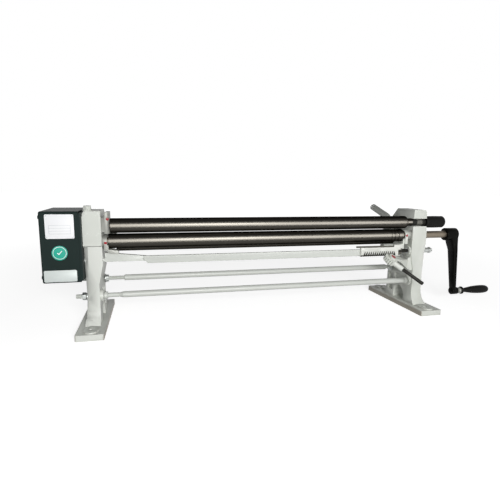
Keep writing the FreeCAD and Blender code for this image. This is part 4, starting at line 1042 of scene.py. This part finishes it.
@dataclass(frozen=True)
class Rolls:
    """The three rolls, the knurled journal sleeve and the roll's grip.

    Attributes:
        radius: Radius of the rolls.
        rear: y and z of the rear roll's axis.
        grooves: Middle, depth and half width of the lower roll's wire grooves.
        sleeve: First and last x and radius of the sleeve.
        teeth: Teeth of the knurl round the sleeve.
        knurl: Middle and half length of the sleeve's bright band, between blackened ends.
        grip: First and last x and radius of the grip.
    """

    radius: float = 25.0
    rear: Pair = (-18.0, 284.0)
    grooves: tuple[Point, ...] = ((494.5, 2.5, 2.5), (508.5, 3.5, 3.5), (523.5, 4.5, 4.5))
    sleeve: Point = (589.0, 649.0, 15.0)
    teeth: int = 44
    knurl: Pair = (622.5, 11.5)
    grip: Point = (650.0, 740.0, 24.0)

    def knurled_sleeve(self) -> None:
        """The sleeve with a diamond knurl.

        Its radius drops by a groove depth where either of two crossing helices passes, and
        runs plain at both ends.
        """
        first, last, radius = self.sleeve
        around, rows = 176, 130
        x = np.linspace(first, last, rows)[:, None]
        turn = self.teeth * np.linspace(0, 2 * math.pi, around, endpoint=False)
        twist = self.teeth / radius * (x - first)
        crest = np.minimum(abs(np.cos(0.5 * (turn + twist))), abs(np.cos(0.5 * (turn - twist))))
        ends = np.clip(np.minimum(x - first, last - x) / 2.5, 0, 1)
        r = radius - 0.55 * (1 - crest) * ends - 0.7 * (1 - np.clip(ends * 2.5, 0, 1))
        thing = piece("knurled_roll_sleeve", turned(x[:, 0], r, (0, ROLL_Y, TOP_Z)),
                      SLEEVE_STEEL, "roll_sleeve")
        middle, half = self.knurl
        two_toned(thing, BLACK_OXIDE, lambda centres, normals: abs(centres[:, 0] - middle) > half)

    def moulded_grip(self) -> None:
        """The black grip, slightly barrelled, with a collar and a domed end."""
        first, last, radius = self.grip
        body = [(first + s, radius - less) for s, less in
                ((0, 2.2), (1.2, 1.0), (4, 0.9), (6.5, 2.0), (9, 1.2))]
        body += [(x, radius - 0.9 + 0.9 * math.sin(math.pi * (x - first - 9) /
                                                   (last - first - 19)))
                 for x in np.linspace(first + 12, last - 16, 9)]
        body += arc(last - 12, radius - 12, 12, 78, 0, 10)
        body += [(last, radius - 14.5), (last - 0.6, radius - 16), (last - 0.8, ON_AXIS)]
        piece("moulded_roll_grip", revolve(body, (0, ROLL_Y, TOP_Z), steps=72), PHENOLIC,
              "roll_grip")

    def barrel(self, left: float, right: float, start: float, end: float) -> list[Pair]:
        """Profile of a roll's body.

        Args:
            left: First x.
            right: Last x.
            start: Quarter round at the left end.
            end: Quarter round at the right end.

        Returns:
            Corners as (x, radius).
        """
        r = self.radius
        return [(left, r - start), *arc(left + start, r - start, start, 180, 90),
                *arc(right - end, r - end, end, 90, 0, 6)]

    def rolls(self) -> None:
        """The three rolls, lit by the strip for bright metal, and the lower one's journals."""
        top = [(-637.0, ON_AXIS), (-636.3, 3.2), (-634.0, 5.8), (-630.0, 7.0), (-626.0, 5.8),
               (-624.7, 4.5), (-612.0, 4.5), (-612.0, 11.0), (-560.0, 11.0),
               *self.barrel(-560.0, 565.0, 1.2, 7.0), (565.0, 15.0), (589.0, 15.0),
               (589.0, 12.0), (728.0, 12.0)]
        lower = self.barrel(-567.0, 550.0, 1.2, 2.5)
        lower += [(middle + half * s, self.radius - depth * math.sqrt(max(0, 1 - s * s)))
                  for middle, depth, half in self.grooves for s in np.linspace(-1, 1, 9)]
        lower.sort(key=lambda corner: corner[0])
        left = [(-706.0, 7.0), (-705.0, 8.0), (-698.0, 8.0), (-698.0, 12.0), (-566.0, 12.0)]
        right = [(549.0, 14.5), (753.0, 14.5), (753.0, 12.0), (787.2, 12.0), (788.0, 11.2)]
        rear = [(-573.0, 9.0), (-572.0, 10.0), (-547.0, 10.0),
                *self.barrel(-547.0, 547.0, 2.0, 2.0), (547.0, 10.0), (572.0, 10.0), (573.0, 9.0)]
        low = ROLL_Y, LOW_Z
        for name, profile, axis in (
                ("top_roll", top, (ROLL_Y, TOP_Z)), ("lower_roll", lower, low),
                ("lower_roll_left_journal", left, low), ("lower_roll_right_journal", right, low),
                ("rear_roll", rear, self.rear)):
            shape = revolve(profile, (0, *axis), steps=96)
            if name in frame["nodes"]:
                BRIGHT_METAL.objects.link(piece(f"{name}_ground", shape, ROLL_STEEL, name))
            else:
                piece(name, shape, SHAFT_STEEL, body="lower_roll")

    def build(self) -> None:
        """Builds the rolls."""
        self.rolls()
        self.knurled_sleeve()
        self.moulded_grip()


@dataclass(frozen=True)
class Crank:
    """Cast crank with its turned grip on a steel spindle.

    Attributes:
        low_z: Height of the spindle's axis at rest.
        outline: Inner and outer side of the web, as (z, x, x) from the bottom.
        half_width: Half width of the web along y, at its bottom and top.
        corner: Rounding of the web's section.
        recess: Depth of the dished front and back faces.
        dish: Lowest and highest level of the dishing.
        bosses: First and last x, radius and height of each boss.
        rim: Rounding of the bosses' rims.
        grip: First and last x of the grip.
        swelling: Profile of the grip, as (share of its length, radius): a narrow neck, a long
            swelling and a rounded end.
    """

    low_z: float = 57.5
    outline: tuple[Point, ...] = ((57.5, 815.0, 829.0), (235.0, 793.0, 811.6),
                                  (262.0, 782.0, 808.0), (303.0, 770.0, 805.0))
    half_width: Pair = (15.0, 24.5)
    corner: float = 5.0
    recess: float = 2.5
    dish: Pair = (80.0, 264.0)
    bosses: tuple = ((753.0, 805.0, 25.8, 303.0), (812.0, 842.0, 15.2, 57.5))
    rim: float = 2.5
    grip: Pair = (858.0, 1000.0)
    swelling: tuple[Pair, ...] = (
        (0.0, 12.6), (0.01, 14.6), (0.03, 16.0), (0.055, 16.0), (0.07, 14.6), (0.085, 10.4),
        (0.10, 9.0), (0.14, 8.8), (0.20, 10.0), (0.28, 12.0), (0.40, 14.6), (0.52, 16.2),
        (0.64, 17.1), (0.74, 17.4), (0.84, 16.9), (0.91, 15.4), (0.955, 13.0), (0.985, 9.4),
        (1.0, 5.6))

    def arm(self) -> Shape:
        """The cast web between the bosses.

        Each level z has a rounded rectangle for its section. Its sides in x follow the outline
        and its half width in y shrinks evenly downwards. On the front and back face, the middle
        of the section dips by the recess times a smooth bump along z.

        Returns:
            Points in millimetres and the faces.
        """
        levels = np.linspace(LOW_Z, self.low_z, 40)
        heights, inner, outer = np.array(self.outline).T
        corner, (low, high) = self.corner, self.dish
        rings = []
        for level, one, two, wide in zip(
                levels, np.interp(levels, heights, inner), np.interp(levels, heights, outer),
                np.interp(levels, heights[::3], self.half_width)):
            depth = self.recess * float(np.clip(min(high - level, level - low) / 12, 0, 1))
            middle, reach = (one + two) / 2, (two - one) / 2 - corner
            ring = []
            for side, start in ((1, 0), (-1, 180)):
                ring += arc(middle + side * reach, side * (wide - corner), corner, start,
                            start + 90)
                ring += [(middle + side * share * reach,
                          side * (wide - (depth if abs(share - 0.1) < 0.4 else 0)))
                         for share in (0.55, 0.45, -0.25, -0.35)]
                ring += arc(middle - side * reach, side * (wide - corner), corner, start + 90,
                            start + 180)
            rings.append([(x, ROLL_Y + y, level) for x, y in ring])
        grid = np.array(rings)
        return grid.reshape(-1, 3), loops(*grid.shape[:2])

    def build(self) -> None:
        """Builds the web with its two bosses, the spindle and the grip."""
        parts = [self.arm()]
        for left, right, radius, z in self.bosses:
            profile = (arc(left + self.rim, radius - self.rim, self.rim, 180, 90) +
                       arc(right - self.rim, radius - self.rim, self.rim, 90, 0))
            parts.append(revolve(profile, (0, ROLL_Y, z), steps=72))
        piece("crank_arm_casting", joined(parts), CRANK_ENAMEL, "crank_arm")
        softened("crank_spindle", "crank_spindle_turned", 0.5, DRAWN_STEEL)
        first, last = self.grip
        profile = [(first + share * (last - first), r) for share, r in self.swelling]
        piece("turned_crank_grip", revolve(profile, (0, ROLL_Y, self.low_z), steps=64), PHENOLIC,
              "crank_grip")


@dataclass(frozen=True)
class PinchDrive:
    """The sliding bar with its rack and wedges, and the lever that drives it.

    Attributes:
        stud: y and z of the right guide stud.
        stud_x: First x of it, and last x of its blackened, plain and threaded stretches.
        nut_x: First x of the stud's nut.
        rack_end: Inner and outer side of the rack's end block as made.
        teeth: x and z below which the rack is toothed.
    """

    stud: Pair = (-76.0, 238.3)
    stud_x: tuple[float, float, float, float] = (540.0, 586.0, 672.0, 698.0)
    nut_x: float = 681.0
    rack_end: Pair = (507.0, 536.0)
    teeth: Pair = (520.0, 240.0)

    def shorter_rack(self, x: np.ndarray, y: np.ndarray, z: np.ndarray) -> tuple:
        """Pulls the rack's end block in to its real length.

        Args:
            x: x of the corners.
            y: y of the corners.
            z: z of the corners.

        Returns:
            The new coordinates.
        """
        inner, outer = self.rack_end
        pulled = np.where(x > 540, np.minimum(x - 559 + outer, outer), np.where(x > 526, outer, x))
        return np.where((x > 511) & (x < 521) & (z > self.teeth[1]), inner, pulled), y, z

    def studs(self) -> None:
        """The right guide stud with its threaded end, and its nut."""
        y, z = self.stud
        first, dark, plain, last = self.stud_x
        right = threaded_rod([(first, dark, 7.0, 0), (dark, plain, 7.0, 0),
                              (plain, last, 7.0, COARSE)], y, z)
        stud = piece("guide_stud_right_threaded", right, ZINC_PLATE, "guide_stud_right")
        two_toned(stud, BLACK_OXIDE, lambda centres, normals: centres[:, 0] < dark)
        piece("stud_nut_chamfered", hex_nut((self.nut_x, y, z), ALONG_X, 22.0, 9.0, 6.9),
              ZINC_PLATE, "stud_nut")

    def build(self) -> None:
        """Builds the drive."""
        x_end, z_end = self.teeth
        # upward faces of the left wedge: dark plate as painted shade under the lower roll
        top = SHADED_DARK_PLATE, lambda centres, normals: normals[:, 2] > 0.4
        # painted shade on the flanks and roots of the teeth: the faces there not square to an axis
        gaps = GAP_SHADE, lambda centres, normals: (
            (abs(normals).max(1) < 0.985) & (centres[:, 0] < x_end) & (centres[:, 2] < z_end))
        for node, made, width, finish, change, inlay in (
                ("pinch_bar", "drawn", 0.6, PAINTED_ROD, None, None),
                ("wedge_left", "milled", 0.6, PAINTED_ROD, None, top),
                ("wedge_right", "milled", 0.6, SHADED_DARK_PLATE, None, None),
                ("rack_plate", "cut", 0.35, GAUGE_PLATE, self.shorter_rack, gaps),
                ("rack_keeper", "milled", 0.6, SHADED_DARK_PLATE, None, None),
                ("pinion_lever", "casting", 0.8, MACHINE_ENAMEL, None, None),
                ("lever_bracket", "casting", 1.0, MACHINE_ENAMEL, None, None),
                ("lever_rod", "blackened", 0.8, BLACK_OXIDE, None, None),
                ("lever_cap", "moulded", 0.8, RED_PLUG, None, None)):
            softened(node, f"{node}_{made}", width, finish, change=change, inlay=inlay)
        self.studs()


@dataclass(frozen=True)
class TieRods:
    """The two rods between the frames, with their threaded ends and nuts.

    Attributes:
        rods: Name, y and z, and stretches of each rod, as for threaded_rod.
        nuts: Side and x of the inner face of each nut, and the rod that it sits on.
    """

    rods: tuple = (
        ("lower_tie_rod", (-74.0, 114.0),
         ((-680, -644, 7.5, COARSE), (-644, -590, 7.5, 0), (-590, -578, 13.0, 0),
          (-578, -540, 8.0, 0), (-528, 577, 11.0, 0), (578, 590, 13.0, 0), (590, 641, 7.5, 0))),
        ("upper_tie_rod", (51.0, 145.0),
         ((-676, -532, 7.5, COARSE), (-528, 570, 11.0, 0), (572, 676, 7.5, COARSE))))
    nuts: tuple = ((-1, 647.0, 0), (-1, 647.0, 1), (1, 647.0, 1), (-1, 585.0, 1), (1, 585.0, 1))

    def build(self) -> None:
        """Builds rods and nuts."""
        for node, axis, stretches in self.rods:
            piece(f"{node}_threaded", threaded_rod(stretches, *axis), PAINTED_ROD, node)
        nuts = [hex_nut((side * x, *self.rods[rod][1]), (side, 0, 0), 24.0, 13.0, 7.2)
                for side, x, rod in self.nuts]
        piece("tie_rod_nuts_chamfered", joined(nuts), ZINC_PLATE, "tie_rod_nuts")


@dataclass(frozen=True)
class OilPlugs:
    """Red plugs in the oil holes of the bearings.

    Attributes:
        places: Body, name, centre and direction of each plug.
        dome: Profile of a plug, as (distance from the surface, radius).
    """

    places: tuple = (
        ("swivel", "swivel_oil_plug", (-566.5, -98.0, 379.0), (0.0, -1.0, 0.0)),
        ("lower_bearings", "left_oil_plug", (-576.0, -95.6, 299.0), (0.0, -0.98, -0.2)),
        ("lower_bearings", "right_oil_plug", (564.0, -95.9, 303.0), (0.0, -1.0, 0.0)))
    dome: tuple[Pair, ...] = ((-1.5, 2.4), (0.0, 2.4), (0.0, 4.7), (0.9, 4.7), (1.6, 4.0),
                              (2.1, 2.8), (2.3, 1.2), (2.35, ON_AXIS))

    def build(self) -> None:
        """Builds the plugs."""
        for body, name, centre, way in self.places:
            piece(name, revolve(list(self.dome), centre, way, 28), RED_PLUG, body=body)


@dataclass(frozen=True)
class Fasteners:
    """The cap's bolt, the filled screw heads and the rear lever.

    Attributes:
        bolt: Centre of the bolt's seat on the left head.
        cap_screws: Places of the cap's screws, radius of their heads last.
        rack_screws: Places of the rack's screws, radius of their heads last.
        lever_slope: Rise of the rear lever's handle, in degrees.
        lever_less: How much shorter the handle is than modelled.
    """

    bolt: Point = (-630.0, ROLL_Y, 405.0)
    cap_screws: tuple = (((-633.5, -599.0), -100.0, (328.8, 394.0)), 6.5)
    rack_screws: tuple = (((385.0, 450.0), -102.0, (253.5,)), 4.9)
    lever_slope: float = 15.8
    lever_less: float = 19.0

    @staticmethod
    def filled(place: tuple, radius: float) -> Shape:
        """Countersunk heads filled and painted over, flush with the face.

        Args:
            place: All x, the face's y, and all z.
            radius: Radius of the heads.

        Returns:
            Points in millimetres and the faces.
        """
        every_x, y, every_z = place
        head = [(-4.0, radius), (-0.04, radius), (0.02, radius - 0.3)]
        return joined([revolve(head, (x, y, z), TO_FRONT, 32) for x in every_x for z in every_z])

    def shorter_lever(self, x: np.ndarray, y: np.ndarray, z: np.ndarray) -> tuple:
        """Pulls the last 12 mm of the rear lever's handle back along the handle.

        Args:
            x: x of the corners.
            y: y of the corners.
            z: z of the corners.

        Returns:
            The new coordinates.
        """
        slope = math.radians(self.lever_slope)
        along = y * math.cos(slope) + z * math.sin(slope)
        less = np.where(along > along.max() - 12, self.lever_less, 0.0)
        return x, y - less * math.cos(slope), z - less * math.sin(slope)

    def build(self) -> None:
        """Builds the bolt and the filled heads, and softens the lever."""
        x, y, z = self.bolt
        washer = [(0.0, 14.6), (0.4, 15.0), (2.6, 15.0), (3.0, 14.6)]
        bolt = joined([hex_nut((x, y, z + 3.0), UPWARDS, 24.0, 14.0),
                       revolve(washer, self.bolt, UPWARDS),
                       revolve([(-35.0, 8.0), (0.0, 8.0)], self.bolt, UPWARDS, 32)])
        for name, shape, finish, node, slot in (
                ("trunnion_bolt_painted", bolt, MACHINE_ENAMEL, "trunnion_bolt", "frame_paint"),
                ("cap_screws_filled", self.filled(*self.cap_screws), MACHINE_ENAMEL,
                 "cap_screws", "frame_paint"),
                ("rack_screws_filled", self.filled(*self.rack_screws), GAUGE_PLATE,
                 "rack_screws", "ground_steel")):
            piece(name, shape, finish, node)
        # the rear lever's darker grey is painted shade
        softened("rear_lever", "rear_lever_drawn", 0.6, LEVER_PIPE_SHADED, change=self.shorter_lever)


def repaint_nodes() -> None:
    """Gives every CAD node its own or its slot's finish."""
    for name, thing in frame["nodes"].items():
        finish = NODE_FINISH.get(name, SLOT_FINISH[NODE_SLOT[name]])
        thing.data.materials.clear()
        thing.data.materials.append(finish.material())
        log.info("%s: %s", name, finish.name)


def main() -> None:
    """Builds every piece in order."""
    logging.basicConfig(level=logging.INFO, format="%(name)s: %(message)s")
    Studio().build()
    repaint_nodes()
    for part in (Castings(), GearCase(), Rolls(), Crank(), PinchDrive(), TieRods(), OilPlugs(),
                 Fasteners()):
        log.info("building %s", type(part).__name__)
        part.build()


if __name__ == "__main__":
    main()
